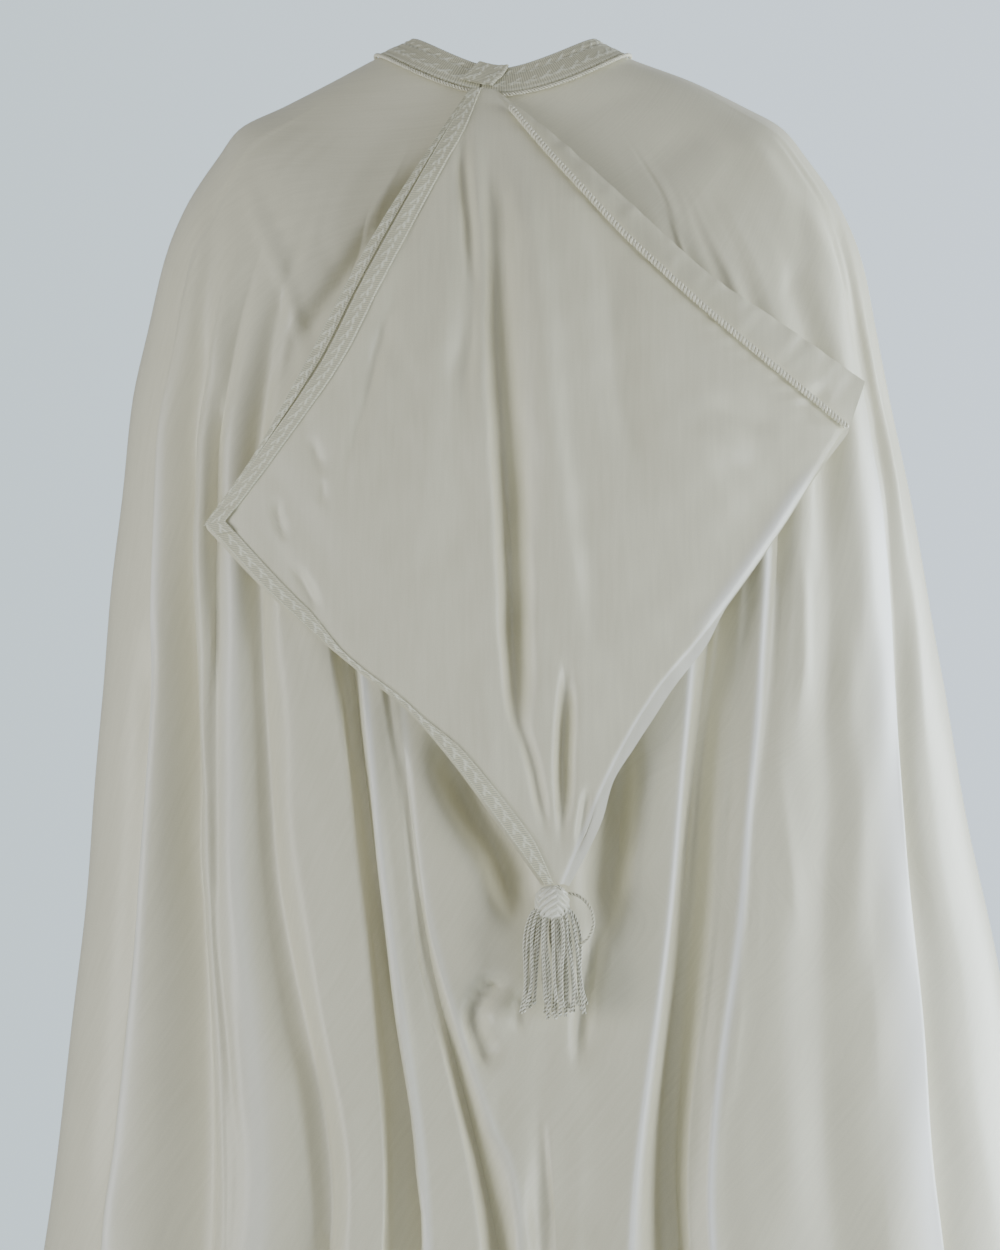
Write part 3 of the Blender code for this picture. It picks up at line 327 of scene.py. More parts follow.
# height down the hood's middle, and how far behind the neck it hangs there
HOOD_HANG = [(-0.0235, 0.0826), (-0.060, 0.108), (-0.120, 0.136), (-0.200, 0.158), (-0.300, 0.172),
             (-0.400, 0.179), (-0.500, 0.187), (-0.574, 0.1955)]
HOOD_SLOPE_STEP = 0.0006          # distance over which the hood's slope is measured, metres
RIM_SLOPE_STEP = 0.004            # and a rim's direction, as a share of its length
HOOD_BEND = 0.95                  # how much the hood bends forwards towards its sides
MARGIN_BRAID_SHARE = 0.80         # share of the under layer's left margin that its braid covers
BRAID_WIDTHS = [(0.0, 0.006), (0.06, 0.013), (0.30, 0.015), (0.47, 0.014), (0.53, 0.013), (0.62, 0.012),
                (0.70, 0.0035), (0.78, 0.0035), (0.84, 0.011), (0.94, 0.013), (1.0, 0.006)]
MOST_BRAID_SHARE = 0.45           # a braid covers at most this share of a row
HOOD_ROWS = 190
HOOD_COLUMNS = 205
FACE_BRAID_LENGTH = 0.38          # a braid's rows are its length over the braid's mesh size
LOW_BRAID_LENGTH = 0.34
CORNER_ROWS = (0.485, 0.515)      # rows that the corner's braid covers
CORD_END = (0.49, 0.53)           # the puckers beside the cord end between these rows
PUCKER_HEIGHT = 0.0006
ROLL_FROM = (0.53, 0.58)          # below the right corner the rim is rolled between these rows
ROLL_TO = (0.69, 0.75)
ROLL_HEIGHT = 0.0016
LOW_RIM_HIGHLIGHT = (0.66, 0.74)            # the low right rim gets a painted highlight from these rows on
MARGIN_END = (0.47, 0.50)         # the under layer's right margin puckers down to these rows
MARGIN_PUCKER = 0.0005
SEAM_ROWS = (0.03, 0.5)           # rows along which the twisted cord runs

# ---- the tassel, its loop and the neck
# rings of strands from the inside out: how many, where they leave the head, where they end, how long they
# are and how far the ring is turned
StrandRing = namedtuple("StrandRing", "count root_x root_y end_x end_y length turn")
STRAND_RINGS = [
    StrandRing(4, 0.0023, 0.0020, 0.0064, 0.0026, 0.068, 0.40),
    StrandRing(10, 0.0056, 0.0050, 0.0138, 0.0058, 0.066, 0.10),
    StrandRing(16, 0.0088, 0.0082, 0.0205, 0.0094, 0.064, 0.00),
]
TASSEL_LEAN = 0.0120
ROOT_DEPTH = 0.72          # share of the head's height at which the strands begin
STRAND_FLARE = 0.30        # power of the way down at which they spread: the less, the sooner
STRAND_SWAY = 0.0034       # how far a strand's end may hang aside
STRAND_BOW = 0.0018        # how far its middle may bend
UNEVEN_CUT = 0.07          # how much longer or shorter than its ring a strand may be, as a share
UNEVEN_STEP = 5.3
HEAD_PROFILE = [(0.0, 0.10), (0.02, 0.35), (0.10, 0.72), (0.35, 0.97), (0.62, 1.0), (0.85, 0.95), (1.0, 0.72)]
HEAD_SECTORS = 5           # slanting bands meet in this many half chevrons round the head
HEAD_BANDS = 5.0
HEAD_RIDGE = 0.00095
HEAD_COLLAR = 0.0008
EYELET_RADIUS = 0.0026
EYELET_ASIDE = 0.0035
EYELET_BEHIND = 0.0052
EYELET_CORD = 0.0016
EYELET_PITCH = 0.0041

LOOP_PITCH = 0.0050
LOOP_APART = 0.0004
LOOP_ROUTE = [(0.0458, -0.1946, -0.5800), (0.0505, -0.1955, -0.5808), (0.0570, -0.1975, -0.5850),
              (0.0615, -0.2000, -0.5925), (0.0622, -0.2020, -0.6010), (0.0595, -0.2020, -0.6085),
              (0.0555, -0.2005, -0.6125), (0.0516, -0.1992, -0.6139)]

CLOSURE_HALF_WIDTH = 0.028
CLOSURE_FROM = 0.040
CLOSURE_TO = 0.215
CLOSURE_GAP = 0.0012
CLOSURE_COLUMNS = 63
NAPE_ANGLE = math.radians(-6.0)
WRAP_HALF_ANGLE = math.radians(6.5)
WRAP_SLANT = math.radians(5.0)
WRAP_STEPS = (0.0006, 0.0205)
WRAP_GAP = 0.0009
WRAP_BRAID = 0.0018        # the turned-up braid lies double, so it is thicker
BAND_INSET = 0.0006
BAND_END = math.radians(0.35)
BAND_CREASE = 0.0007       # depth of the line along the neck braids, where two runs of braid meet
BEHIND = np.array([0.0, -1.0, 0.0])

# ---- threads and braid
ROUND_FLAT = 0.002         # flat size of a thread from its outer side to its inner side
END_BULGE = 0.35           # height of a thread's rounded end, as a share of its radius
BRAID_BODY = 0.85          # share of a braid's thickness that lies below its relief
LEAF_GROUP = 0.0108        # the braid's leaves come in groups of four, this long
LEAF_LINE = 0.0110         # a wide braid has several lines of groups, this far apart
LEAF_LENGTH = 0.0028       # half of one leaf
LEAF_WIDTH = 0.00080
LEAF_WANDER = 0.0005       # how far a group strays from its line
LEAVES = [                 # lean from the braid's length, start along the group, place across in metres
    (0.34, -0.25, 0.0016), (-0.30, -0.02, 0.0002), (0.26, 0.24, 0.0012), (-0.42, 0.30, -0.0022),
]
LEAF_TURN = 0.10           # how far a leaf's lean strays from its own
RIB_PITCH = 0.0016
RIB_SLANT = 0.35           # how far a rib runs on along the braid for each metre across it
BEAD_PITCH = 0.0024
BEADS_FROM = (0.80, 0.90)  # the beads rise between these shares of the braid's half width
BEAD_ROUND = 0.7           # power of their wave: the less, the fuller they are
BEAD_FLOAT = 0.8           # how much they count as a satin float beside a leaf: glossier, and lighter by a painted highlight
RIB_HEIGHT = 0.00016
LEAF_HEIGHT = 0.00055
BEAD_HEIGHT = 0.00042
RELIEF_FROM = (0.002, 0.008)  # where a braid tapers, its relief comes in between these widths
CROWN_FROM = 0.86          # a braid is flat up to this share of its half width, and rounds off beyond it
CROWN_DROP = 0.7           # share of its thickness that its edge lies lower
FOLD_PLACE = -0.20         # the pressed line's place and width, as shares of the braid's width
FOLD_WIDTH = 0.05
CORD_SIDES = 8
HOOD_CORD_SIDES = 9
STRAND_SIDES = 6

# ---- the studio
Light = namedtuple("Light", "name place aim size power colour")
LIGHTS = [
    Light("right_window", (2.80, -1.30, -0.70), (0.0, -0.1, -0.70), 1.6, "right_light", (0.91, 0.97, 1.0)),
    Light("right_rim", (2.90, 1.10, -0.60), (0.0, 0.0, -0.65), 1.8, "rim_light", (0.80, 0.91, 1.0)),
    Light("left_window", (-2.65, -1.60, -0.60), (0.0, -0.1, -0.70), 1.5, "left_light", (0.96, 0.985, 1.0)),
    Light("key_soft", (-0.6, -3.3, -1.0), (0.0, -0.1, -0.75), 1.6, "key_light", (0.96, 0.985, 1.0)),
    Light("top_soft", (0.1, -1.0, 2.1), (0.0, -0.1, -0.3), 2.4, "top_light", (1.0, 1.0, 0.99)),
    Light("front_soft", (0.4, 3.0, 0.8), (0.0, 0.0, -0.6), 2.0, "top_light", (1.0, 0.99, 0.97)),
]
SKY_LIGHT = (0.93, 0.97, 1.0, 1.0)
SKY_TURN = 0.16            # the backdrop's colour changes over this much of the view on either side
FLOOR_RADIUS = 3.3
FLOOR_THICKNESS = 0.01


# ---- curves and fields
def follow(keys, values, at, sway=0.0):
    """Read a smooth curve through (keys, values): cubic pieces, level at turning points unless sway is 1."""
    keys = np.asarray(keys, dtype=float)
    values = np.asarray(values, dtype=float)
    at = np.clip(np.asarray(at, dtype=float), keys[0], keys[-1])
    chord = np.diff(values) / np.diff(keys)
    before = chord[:-1]
    after = chord[1:]
    same_way = before * after > 0.0
    total = np.where(same_way, before + after, 1.0)
    turn = sway * 0.5 * (before + after)
    slope = np.concatenate(([chord[0]], np.where(same_way, 2.0 * before * after / total, turn), [chord[-1]]))
    piece = np.clip(np.searchsorted(keys, at, side="right") - 1, 0, len(keys) - 2)
    width = keys[piece + 1] - keys[piece]
    part = (at - keys[piece]) / width
    rise = part * part * (3.0 - 2.0 * part)
    leave = part * (1.0 - part) ** 2
    arrive = part * part * (part - 1.0)
    start = values[piece]
    return (start + (values[piece + 1] - start) * rise
            + width * (leave * slope[piece] + arrive * slope[piece + 1]))


def ease(value, start, end):
    """0 before start, 1 after end, and an S curve between them."""
    part = np.clip((value - start) / (end - start), 0.0, 1.0)
    return part * part * (3.0 - 2.0 * part)


def lengths_along(points):
    """Running length along rows of points, from 0."""
    steps = np.linalg.norm(np.diff(points, axis=0), axis=-1)
    return np.concatenate([np.zeros((1,) + steps.shape[1:]), np.cumsum(steps, axis=0)])


def lengths_across(grid):
    """Running length along each row of a grid, from 0 at its first column."""
    return np.swapaxes(lengths_along(np.swapaxes(grid, 0, 1)), 0, 1)


def smooth_route(points, count):
    """Evenly spread points on a smooth curve through a few."""
    points = np.array(points)
    reach = lengths_along(points)
    at = np.linspace(0.0, reach[-1], count)
    return np.stack([follow(reach, points[:, axis], at, 1.0) for axis in range(points.shape[1])], -1)


def unit(vectors):
    """Vectors scaled to length 1."""
    return vectors / np.maximum(np.linalg.norm(vectors, axis=-1, keepdims=True), 1e-12)


def crease_field(x, z, creases):
    """Depth of every crease at (x, z): a bell of the distance to its line, faded towards its two ends."""
    total = np.zeros_like(x)
    for crease in creases:
        line = smooth_route(crease.points, CREASE_POINTS)
        reach = CREASE_REACH * max(crease.left, crease.right)
        near = ((x > line[:, 0].min() - reach) & (x < line[:, 0].max() + reach)
                & (z > line[:, 1].min() - reach) & (z < line[:, 1].max() + reach))
        if not near.any():
            continue
        start = line[:-1]
        step = np.diff(line, axis=0)
        off_x = x[near][:, None] - start[:, 0]
        off_z = z[near][:, None] - start[:, 1]
        part = np.clip((off_x * step[:, 0] + off_z * step[:, 1]) / np.sum(step * step, axis=1), 0.0, 1.0)
        gap = np.hypot(off_x - part * step[:, 0], off_z - part * step[:, 1])
        nearest = np.argmin(gap, axis=1)
        row = np.arange(len(nearest))
        side = (step[nearest, 0] * off_z[row, nearest] - step[nearest, 1] * off_x[row, nearest]) > 0.0
        width = np.where(side, crease.right, crease.left)
        along = (nearest + part[row, nearest]) / len(step)
        fade = ease(along, 0.0, crease.ends) * ease(1.0 - along, 0.0, crease.ends)
        total[near] += crease.depth * fade * np.exp(-(gap[row, nearest] / width) ** 2)
    return total


def waves(u, v, seed, count, u_range, v_range):
    """A soft random field: the mean of sine waves whose lengths lie in the two ranges."""
    random = np.random.default_rng(seed)
    total = np.zeros_like(u)
    for _ in range(count):
        u_rate = 2.0 * math.pi / random.uniform(*u_range) * random.choice((-1.0, 1.0))
        v_rate = 2.0 * math.pi / random.uniform(*v_range)
        total += np.sin(u_rate * u + v_rate * v + random.uniform(0.0, 2.0 * math.pi))
    return total / math.sqrt(count)


def unevenness(u, v, layers):
    """The sum of several soft random fields, each with its own height."""
    return sum(height * waves(u, v, *field) for height, *field in layers)


# ---- the cloak's form
def section_value(column, step):
    """One column of the sections' table, read smoothly at any way down the cloth."""
    return follow([s.step for s in SECTIONS], [getattr(s, column) for s in SECTIONS], step)


def angle_of(x, half_width, face):
    """Angle round the section where it is x wide: 0 at the back, +90 degrees at the right side."""
    reach = np.clip(np.abs(x) / half_width, 0.0, 1.0) ** (1.0 / CORNER)
    angle = np.arcsin(reach)
    if face == "front":
        angle = math.pi - angle
    return np.sign(x) * angle


def fold_angles(step):
    """Angles of every fold line at one way down the cloth, left front edge first."""
    angles = []
    for fold in FOLDS:
        side = "right" if fold.x_seat > 0.0 else "left"
        if fold.face == "side":
            angles.append(math.copysign(math.pi / 2.0, fold.x_seat))
            continue
        lines = [float(angle_of(x, section_value(side, at), fold.face))
                 for x, at in zip((fold.x_blade, fold.x_seat, fold.x_knee, fold.x_hem), FOLD_STEPS)]
        angles.append(float(follow(FOLD_STEPS, lines, step, sway=1.0)))
    gap = section_value("gap", step)
    angles[0] = float(angle_of(-gap, section_value("left", step), "front"))
    angles[-1] = float(angle_of(gap, section_value("right", step), "front"))
    return np.array(angles)


def fold_depths(step):
    """How far each fold line lies inside the crests at one way down the cloth."""
    return np.array([float(follow(DEPTH_STEPS, (0.0, fold.blade, fold.seat, fold.knee, fold.hem), step))
                     for fold in FOLDS])


def fold_places():
    """Where the columns lie, counted in folds.

    Their density is a base rate plus a bell at every crisp fold line of the back; equal steps of its running
    sum are read back as places."""
    lines = np.arange(len(FOLDS))
    places = np.linspace(0.0, len(FOLDS) - 1.0, PLACES_READ)
    ring = cloak_point(STEP["seat"], np.interp(places, lines, fold_angles(STEP["seat"])))
    reach = lengths_along(ring)
    crisp = [np.interp(number, places, reach) for number, fold in enumerate(FOLDS)
             if fold.face == "back" and fold.crisp >= CRISP]
    near = np.max(np.exp(-((reach[:, None] - np.array(crisp)) / CRISP_REACH) ** 2), axis=1)
    base = np.where(ring[:, 1] < 0.0, 1.0 / BACK_APART, 1.0 / FRONT_APART)
    density = base + (1.0 / CRISP_APART - base) * near
    total = np.concatenate(([0.0], np.cumsum(0.5 * (density[1:] + density[:-1]) * np.diff(reach))))
    return np.interp(np.linspace(0.0, total[-1], round(total[-1]) + 1), total, places)


def folded(depths, crispness, place):
    """Depth at those places: S curves, broad at the crests, straighter where a line is crisp."""
    fold = np.minimum(place.astype(int), len(depths) - 2)
    part = place - fold
    start = depths[fold]
    rise = depths[fold + 1] - start
    part = np.where(rise >= 0.0, part ** CREST_BREADTH, 1.0 - (1.0 - part) ** CREST_BREADTH)
    curve = part * part * (3.0 - 2.0 * part) + crispness[fold] * part * (1.0 - part) ** 2
    curve = curve + crispness[fold + 1] * part * part * (part - 1.0)
    return start + rise * curve


def leaning(leans, place):
    """Sideways push at those places: full on a crest, gone at the fold lines beside it."""
    fold = np.minimum(place.astype(int), len(leans) - 2)
    part = place - fold
    leaving = leans[fold] * (1.0 - part) ** 2 * (1.0 + 2.0 * part)
    return leaving + leans[fold + 1] * part ** 2 * (3.0 - 2.0 * part)


def cloak_point(step, angle, inward=0.0, sideways=0.0):
    """Points of the cloak's form: a squarish ring whose height runs from its back over its sides."""
    angle = np.asarray(angle, dtype=float)
    across = np.sin(angle)
    facing = np.cos(angle)
    half = np.where(across > 0.0, section_value("right", step), section_value("left", step))
    depth = np.where(facing > 0.0, section_value("back", step), section_value("front", step))
    level = np.where(facing > 0.0, section_value("back_z", step), section_value("front_z", step))
    x = half * np.sign(across) * np.abs(across) ** CORNER
    y = -depth * np.sign(facing) * np.abs(facing) ** CORNER
    side_z = section_value("side_z", step)
    z = level + (side_z - level) * np.abs(across) ** section_value("notch", step)
    power = 2.0 / CORNER - 1.0
    out_x = np.sign(x) * (np.abs(x) / half) ** power / half
    out_y = np.sign(y) * (np.abs(y) / depth) ** power / depth
    length = np.maximum(np.hypot(out_x, out_y), 1e-9)
    out_x = out_x / length
    out_y = out_y / length
    return np.stack([x - inward * out_x - sideways * out_y, y - inward * out_y + sideways * out_x, z], -1)


def outward(grid, towards):
    """Unit normals of a grid of points, on the side that points towards the given directions."""
    normal = unit(np.cross(np.gradient(grid, axis=1), np.gradient(grid, axis=0)))
    if np.sum(normal * towards) < 0.0:
        normal = -normal
    return normal


def from_axis(grid):
    """Directions away from the wearer's middle, for the cloak and what lies on it."""
    return grid * np.array([1.0, 1.0, 0.0])


def cloak_steps():
    """Ways down the cloth of all the rows, closer where small creases lie."""
    steps = [0.0]
    for reach, apart in ROW_RUNS:
        count = max(1, round((reach - steps[-1]) / apart))
        steps.extend(np.linspace(steps[-1], reach, count + 1)[1:].tolist())
    return np.array(steps)


def painted_highlight_lines(place, reach, steps):
    """How much painted highlight each point gets from the crests: a bell beside each of them."""
    numbers = {fold.name: number for number, fold in enumerate(FOLDS)}
    total = np.zeros_like(reach)
    for name, (amount, left, right) in CREST_HIGHLIGHTS.items():
        line = np.array([np.interp(numbers[name], place, row) for row in reach])
        away = reach - line[:, None] - HIGHLIGHT_SHIFT
        total += amount * np.exp(-(away / np.where(away < 0.0, left, right)) ** 2)
    return total * ease(steps, *HIGHLIGHT_FADE)[:, None]


def cloak_cloth_grid(strength):
    """The cloak's outer face, its flat coordinates and the painted highlight along its crests: folds, creases
    and unevenness.
    """
    crispness = np.array([fold.crisp for fold in FOLDS])
    leans = np.array([fold.lean for fold in FOLDS])
    place = fold_places()
    steps = cloak_steps()
    lines = np.arange(len(FOLDS))
    deepen = follow(DEPTH_STEPS, LEAN_GROWTH, steps)
    rows = []
    for step, deep in zip(steps, deepen):
        angle = np.interp(place, lines, fold_angles(step))
        inward = folded(fold_depths(step), crispness, place)
        rows.append(cloak_point(step, angle, inward, leaning(leans, place) * deep))
    grid = np.array(rows)
    down = np.repeat(steps[:, None], len(place), axis=1)
    across = np.repeat(place[None, :], len(steps), axis=0)
    normal = outward(grid, from_axis(grid))
    face = ease(grid[..., 1], *FACE_TURN)
    depth = crease_field(grid[..., 0], grid[..., 2], BACK_CREASES) * (1.0 - face)
    depth += crease_field(grid[..., 0], grid[..., 2], FRONT_CREASES) * face
    uneven = unevenness(across, down, CLOAK_UNEVEN) * ease(down, *UNEVEN_FROM)
    depth = (depth + uneven) * ease(down, *CREASES_FROM) * strength
    grid = grid - depth[..., None] * normal
    reach = lengths_across(grid)
    flat = np.stack([reach, -down], -1)
    return grid, flat, painted_highlight_lines(place, reach, steps)


# ---- meshes from arrays
def put_mesh(name, points, faces, flat, material, attributes=None):
    """One object from points, faces and a flat coordinate for each point, shaded smooth but for its rims."""
    mesh = bpy.data.meshes.new(name)
    mesh.from_pydata(points.tolist(), [], [face for group in faces for face in group.tolist()])
    layer = mesh.uv_layers.new(name="cloth")
    corners = np.empty(len(mesh.loops), dtype=np.int32)
    mesh.loops.foreach_get("vertex_index", corners)
    layer.data.foreach_set("uv", flat[corners].astype(np.float32).ravel())
    for title, values in (attributes or {}).items():
        attribute = mesh.attributes.new(title, "FLOAT", "POINT")
        attribute.data.foreach_set("value", values.astype(np.float32).ravel())
    mesh.materials.append(material)
    mesh.shade_smooth()
    mesh.set_sharp_from_angle(angle=SHARP_ANGLE)
    mesh.update()
    piece = bpy.data.objects.new(name, mesh)
    bpy.context.scene.collection.objects.link(piece)
    return piece


def shell(name, outer, inner, towards, flat, material, attributes=None):
    """A closed wall between two grids of points, its faces turned outwards."""
    rows, columns = outer.shape[:2]
    count = rows * columns
    index = np.arange(count).reshape(rows, columns)
    quads = np.stack([index[:-1, :-1], index[:-1, 1:], index[1:, 1:], index[1:, :-1]], -1).reshape(-1, 4)
    rim = np.concatenate([index[0, :], index[1:, -1], index[-1, -2::-1], index[-2:0:-1, 0]])
    ahead = np.roll(rim, -1)
    edge = np.stack([ahead, rim, rim + count, ahead + count], -1)
    faces = np.concatenate([quads, quads[:, ::-1] + count, edge])
    raw = np.cross(np.gradient(outer, axis=1), np.gradient(outer, axis=0))
    if np.sum(raw * towards) > 0.0:
        faces = faces[:, ::-1]
    points = np.concatenate([outer.reshape(-1, 3), inner.reshape(-1, 3)])
    both = np.concatenate([flat.reshape(-1, 2), flat.reshape(-1, 2)])
    doubled = {title: np.concatenate([values.ravel(), values.ravel()])
               for title, values in (attributes or {}).items()}
    return put_mesh(name, points, [faces], both, material, doubled)


def settle(piece, slot, *nodes):
    """Bind a finished piece to the part: hide the solids it stands for and attach it to its body. slot, the
    name of its finish, is not used.
    """
    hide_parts(*nodes)
    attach(piece, "root")


def tube_arrays(centre, beside, radius, sides):
    """Points and faces of round tubes: rings about centre lines, with a point at each end.

    The flat coordinate runs along a tube, and across from where it faces out (0) to where it faces in.
    centre and beside are (tubes, stations, 3); radius is a number or (tubes, stations)."""
    tubes, stations = centre.shape[:2]
    along = unit(np.gradient(centre, axis=1))
    first = unit(beside - np.sum(beside * along, -1, keepdims=True) * along)
    second = np.cross(along, first)
    turn = 2.0 * math.pi * np.arange(sides) / sides
    radius = np.broadcast_to(radius, centre.shape[:2])[..., None, None]
    ring = (centre[:, :, None] + radius * (np.cos(turn)[:, None] * first[:, :, None]
                                           + np.sin(turn)[:, None] * second[:, :, None]))
    cap = END_BULGE * radius[:, :, 0]
    low = centre[:, 0] - cap[:, 0] * along[:, 0]
    high = centre[:, -1] + cap[:, -1] * along[:, -1]
    points = np.concatenate([ring.reshape(tubes, -1, 3), low[:, None], high[:, None]], 1)
    size = stations * sides + 2
    index = np.arange(stations * sides).reshape(stations, sides)
    ahead = np.roll(index, -1, axis=1)
    quads = np.stack([index[:-1], ahead[:-1], ahead[1:], index[1:]], -1).reshape(-1, 4)
    low_cap = np.stack([ahead[0], index[0], np.full(sides, size - 2)], -1)
    high_cap = np.stack([index[-1], ahead[-1], np.full(sides, size - 1)], -1)
    shift = (np.arange(tubes) * size)[:, None, None]
    flat_x = np.repeat(lengths_across(centre)[..., None], sides, axis=-1)
    # the thread's material paints shade where this value is high, where a ply faces in
    flat_y = np.broadcast_to(0.5 * ROUND_FLAT * (1.0 - np.cos(turn)), flat_x.shape)
    flat = np.stack([flat_x, flat_y], -1).reshape(tubes, -1, 2)
    flat = np.concatenate([flat, flat[:, :1], flat[:, -1:]], 1)
    faces = [(group + shift).reshape(-1, group.shape[-1]) for group in (quads, low_cap, high_cap)]
    return points.reshape(-1, 3), faces, flat.reshape(-1, 2)


def plied(centre, beside, diameter, pitch, sides, ends=0.0):
    """Points and faces of cords twisted from two plies, which wind round the cord's line once in every pitch.

    A ply is half as thick as the cord, so its own line lies a quarter of the thickness from the cord's. ends
    is how much wider the plies stand at the cord's far end."""
    reach = lengths_across(centre)
    along = unit(np.gradient(centre, axis=1))
    first = unit(beside - np.sum(beside * along, -1, keepdims=True) * along)
    second = np.cross(along, first)
    turn = (2.0 * math.pi * reach / pitch)[..., None]
    quarter = 0.25 * diameter
    out = quarter * (1.0 + ends * ease(reach / reach[:, -1:], 0.90, 1.0))[..., None]
    rays = [np.cos(angle) * first + np.sin(angle) * second for angle in (turn, turn + math.pi)]
    lines = [centre + out * ray for ray in rays]
    return tube_arrays(np.concatenate(lines), np.concatenate(rays), quarter, sides)


def twisted_cord(name, line, beside, apart, diameter, pitch, sides, colours):
    """One twisted cord along a line, with stations that far apart."""
    points, faces, flat = plied(*even_stations(line, beside, apart), diameter, pitch, sides)
    return put_mesh(name, points, faces, flat, finish(colours, "twisted cord"))


def even_stations(points, beside, apart):
    """A line and its side directions read again at even distances."""
    reach = lengths_along(points)
    count = max(8, int(reach[-1] / apart) + 1)
    at = np.linspace(0.0, reach[-1], count)
    line = np.stack([np.interp(at, reach, points[:, axis]) for axis in range(3)], -1)
    ray = np.stack([np.interp(at, reach, beside[:, axis]) for axis in range(3)], -1)
    return line[None], unit(ray)[None]


# ---- the hood's form
def edge_line(name, part):
    """Points along one of the hood's edges, part running from 0 to 1 between its ends."""
    points = np.array(HOOD_EDGES[name])
    reach = lengths_along(points)
    at = np.asarray(part) * reach[-1]
    return np.stack([follow(reach, points[:, 0], at), follow(reach, points[:, 1], at)], -1)


def upper_outline(side, rows):
    """The upper layer's outline on one side: at its corner at one half, at the tip at one."""
    above = edge_line("upper " + side, np.clip(rows * 2.0, 0.0, 1.0))
    below = edge_line("upper lower " + side, np.clip(rows * 2.0 - 1.0, 0.0, 1.0))
    return np.where(rows[:, None] <= 0.5, above, below)


def under_outline(side, rows):
    """The under layer's outline: its own line down to its corner, then a margin past the upper layer."""
    above = edge_line("under " + side, np.clip(rows * 2.0, 0.0, 1.0))
    below = upper_outline(side, rows)
    part = np.clip(rows * 2.0 - 1.0, 0.0, 1.0)
    along = (edge_line("upper lower " + side, part + RIM_SLOPE_STEP)
             - edge_line("upper lower " + side, part - RIM_SLOPE_STEP))
    aside = unit(np.stack([-along[:, 1], along[:, 0]], -1))
    if side == "left":
        aside = -aside
    margins = UNDER_MARGINS[side]
    margin = follow([at for at, _ in margins], [wide for _, wide in margins], rows)
    return np.where(rows[:, None] <= 0.5, above, below + margin[:, None] * aside)


def hood_depth(x, z):
    """How far back the hanging hood lies at (x, z): its hang behind the neck, its bend and its creases."""
    hang = follow([-height for height, _ in HOOD_HANG], [back for _, back in HOOD_HANG], -z)
    soft = unevenness(x, z, HOOD_UNEVEN) * ease(-z, *HOOD_UNEVEN_FROM)
    return -hang + HOOD_BEND * x * x + crease_field(x, z, HOOD_CREASES) + soft


def hood_lift(flat, lift=0.0):
    """Points of the hanging hood over flat points (x, z), lifted by a distance along its normals."""
    x = flat[..., 0]
    z = flat[..., 1]
    small = HOOD_SLOPE_STEP
    y = hood_depth(x, z)
    slope_x = (hood_depth(x + small, z) - hood_depth(x - small, z)) / (2.0 * small)
    slope_z = (hood_depth(x, z + small) - hood_depth(x, z - small)) / (2.0 * small)
    normal = unit(np.stack([slope_x, -np.ones_like(x), slope_z], -1))
    return np.stack([x, y, z], -1) + np.asarray(lift)[..., None] * normal, normal


def edge_drop(distance, amount, width):
    """How far the rim of a layer rolls down: all of amount at the edge, gone within its width."""
    return amount * np.exp(-(distance / width) ** 2)


def between(left, right, share):
    """Flat points between two outlines, row by row."""
    return left[:, None, :] + (right - left)[:, None, :] * share[..., None]


def braid_share(rows):
    """How much of each row of the upper layer its braid covers."""
    left = upper_outline("left", rows)
    right = upper_outline("right", rows)
    width = follow([at for at, _ in BRAID_WIDTHS], [wide for _, wide in BRAID_WIDTHS], rows)
    return np.minimum(width / np.maximum(np.linalg.norm(right - left, axis=-1), 1e-6), MOST_BRAID_SHARE)


# ---- braid, cord and cloth relief
def braid_relief(along, across, width):
    """Height of the braid's pattern: slanted ribs, loose groups of four satin leaves, beads at both edges.

    A leaf is half an ellipsoid, a rib and a bead are sine waves. along and across are metres from the braid's
    end and from its middle. Returns the height and how much of each point is a raised float."""
    lines = max(1, round(float(np.mean(width)) / LEAF_LINE))
    leaf = np.zeros_like(along)
    for line in range(lines):
        moved = along + 0.5 * LEAF_GROUP * line
        number = np.floor(moved / LEAF_GROUP)
        off = moved - (number + 0.5) * LEAF_GROUP
        middle = (line - 0.5 * (lines - 1)) * LEAF_LINE + LEAF_WANDER * np.sin(2.4 * number)
        for lean, start, aside in LEAVES:
            turned = lean + LEAF_TURN * np.sin(5.1 * number + 9.0 * start)
            off_along = off - start * LEAF_GROUP
            off_across = across - middle - aside
            ahead = off_along * np.cos(turned) + off_across * np.sin(turned)
            beside = off_across * np.cos(turned) - off_along * np.sin(turned)
            round_leaf = 1.0 - (ahead / LEAF_LENGTH) ** 2 - (beside / LEAF_WIDTH) ** 2
            leaf = np.maximum(leaf, np.sqrt(np.clip(round_leaf, 0.0, 1.0)))
    ribs = 0.5 + 0.5 * np.sin(2.0 * math.pi * (along + RIB_SLANT * across) / RIB_PITCH)
    edge = np.abs(across) / (0.5 * width)
    beads = ease(edge, *BEADS_FROM) * (0.5 + 0.5 * np.sin(2.0 * math.pi * along / BEAD_PITCH)) ** BEAD_ROUND
    height = RIB_HEIGHT * ribs * (1.0 - leaf) + LEAF_HEIGHT * leaf + BEAD_HEIGHT * beads
    return height, np.maximum(leaf, BEAD_FLOAT * beads)


def crowned(across, width, thickness):
    """Rounded edges of a flat braid: level inside, and rounded off beside each edge."""
    edge = np.clip((np.abs(across) / (0.5 * width) - CROWN_FROM) / (1.0 - CROWN_FROM), 0.0, 1.0)
    return -CROWN_DROP * thickness * (1.0 - np.sqrt(1.0 - edge ** 2 * 0.98))


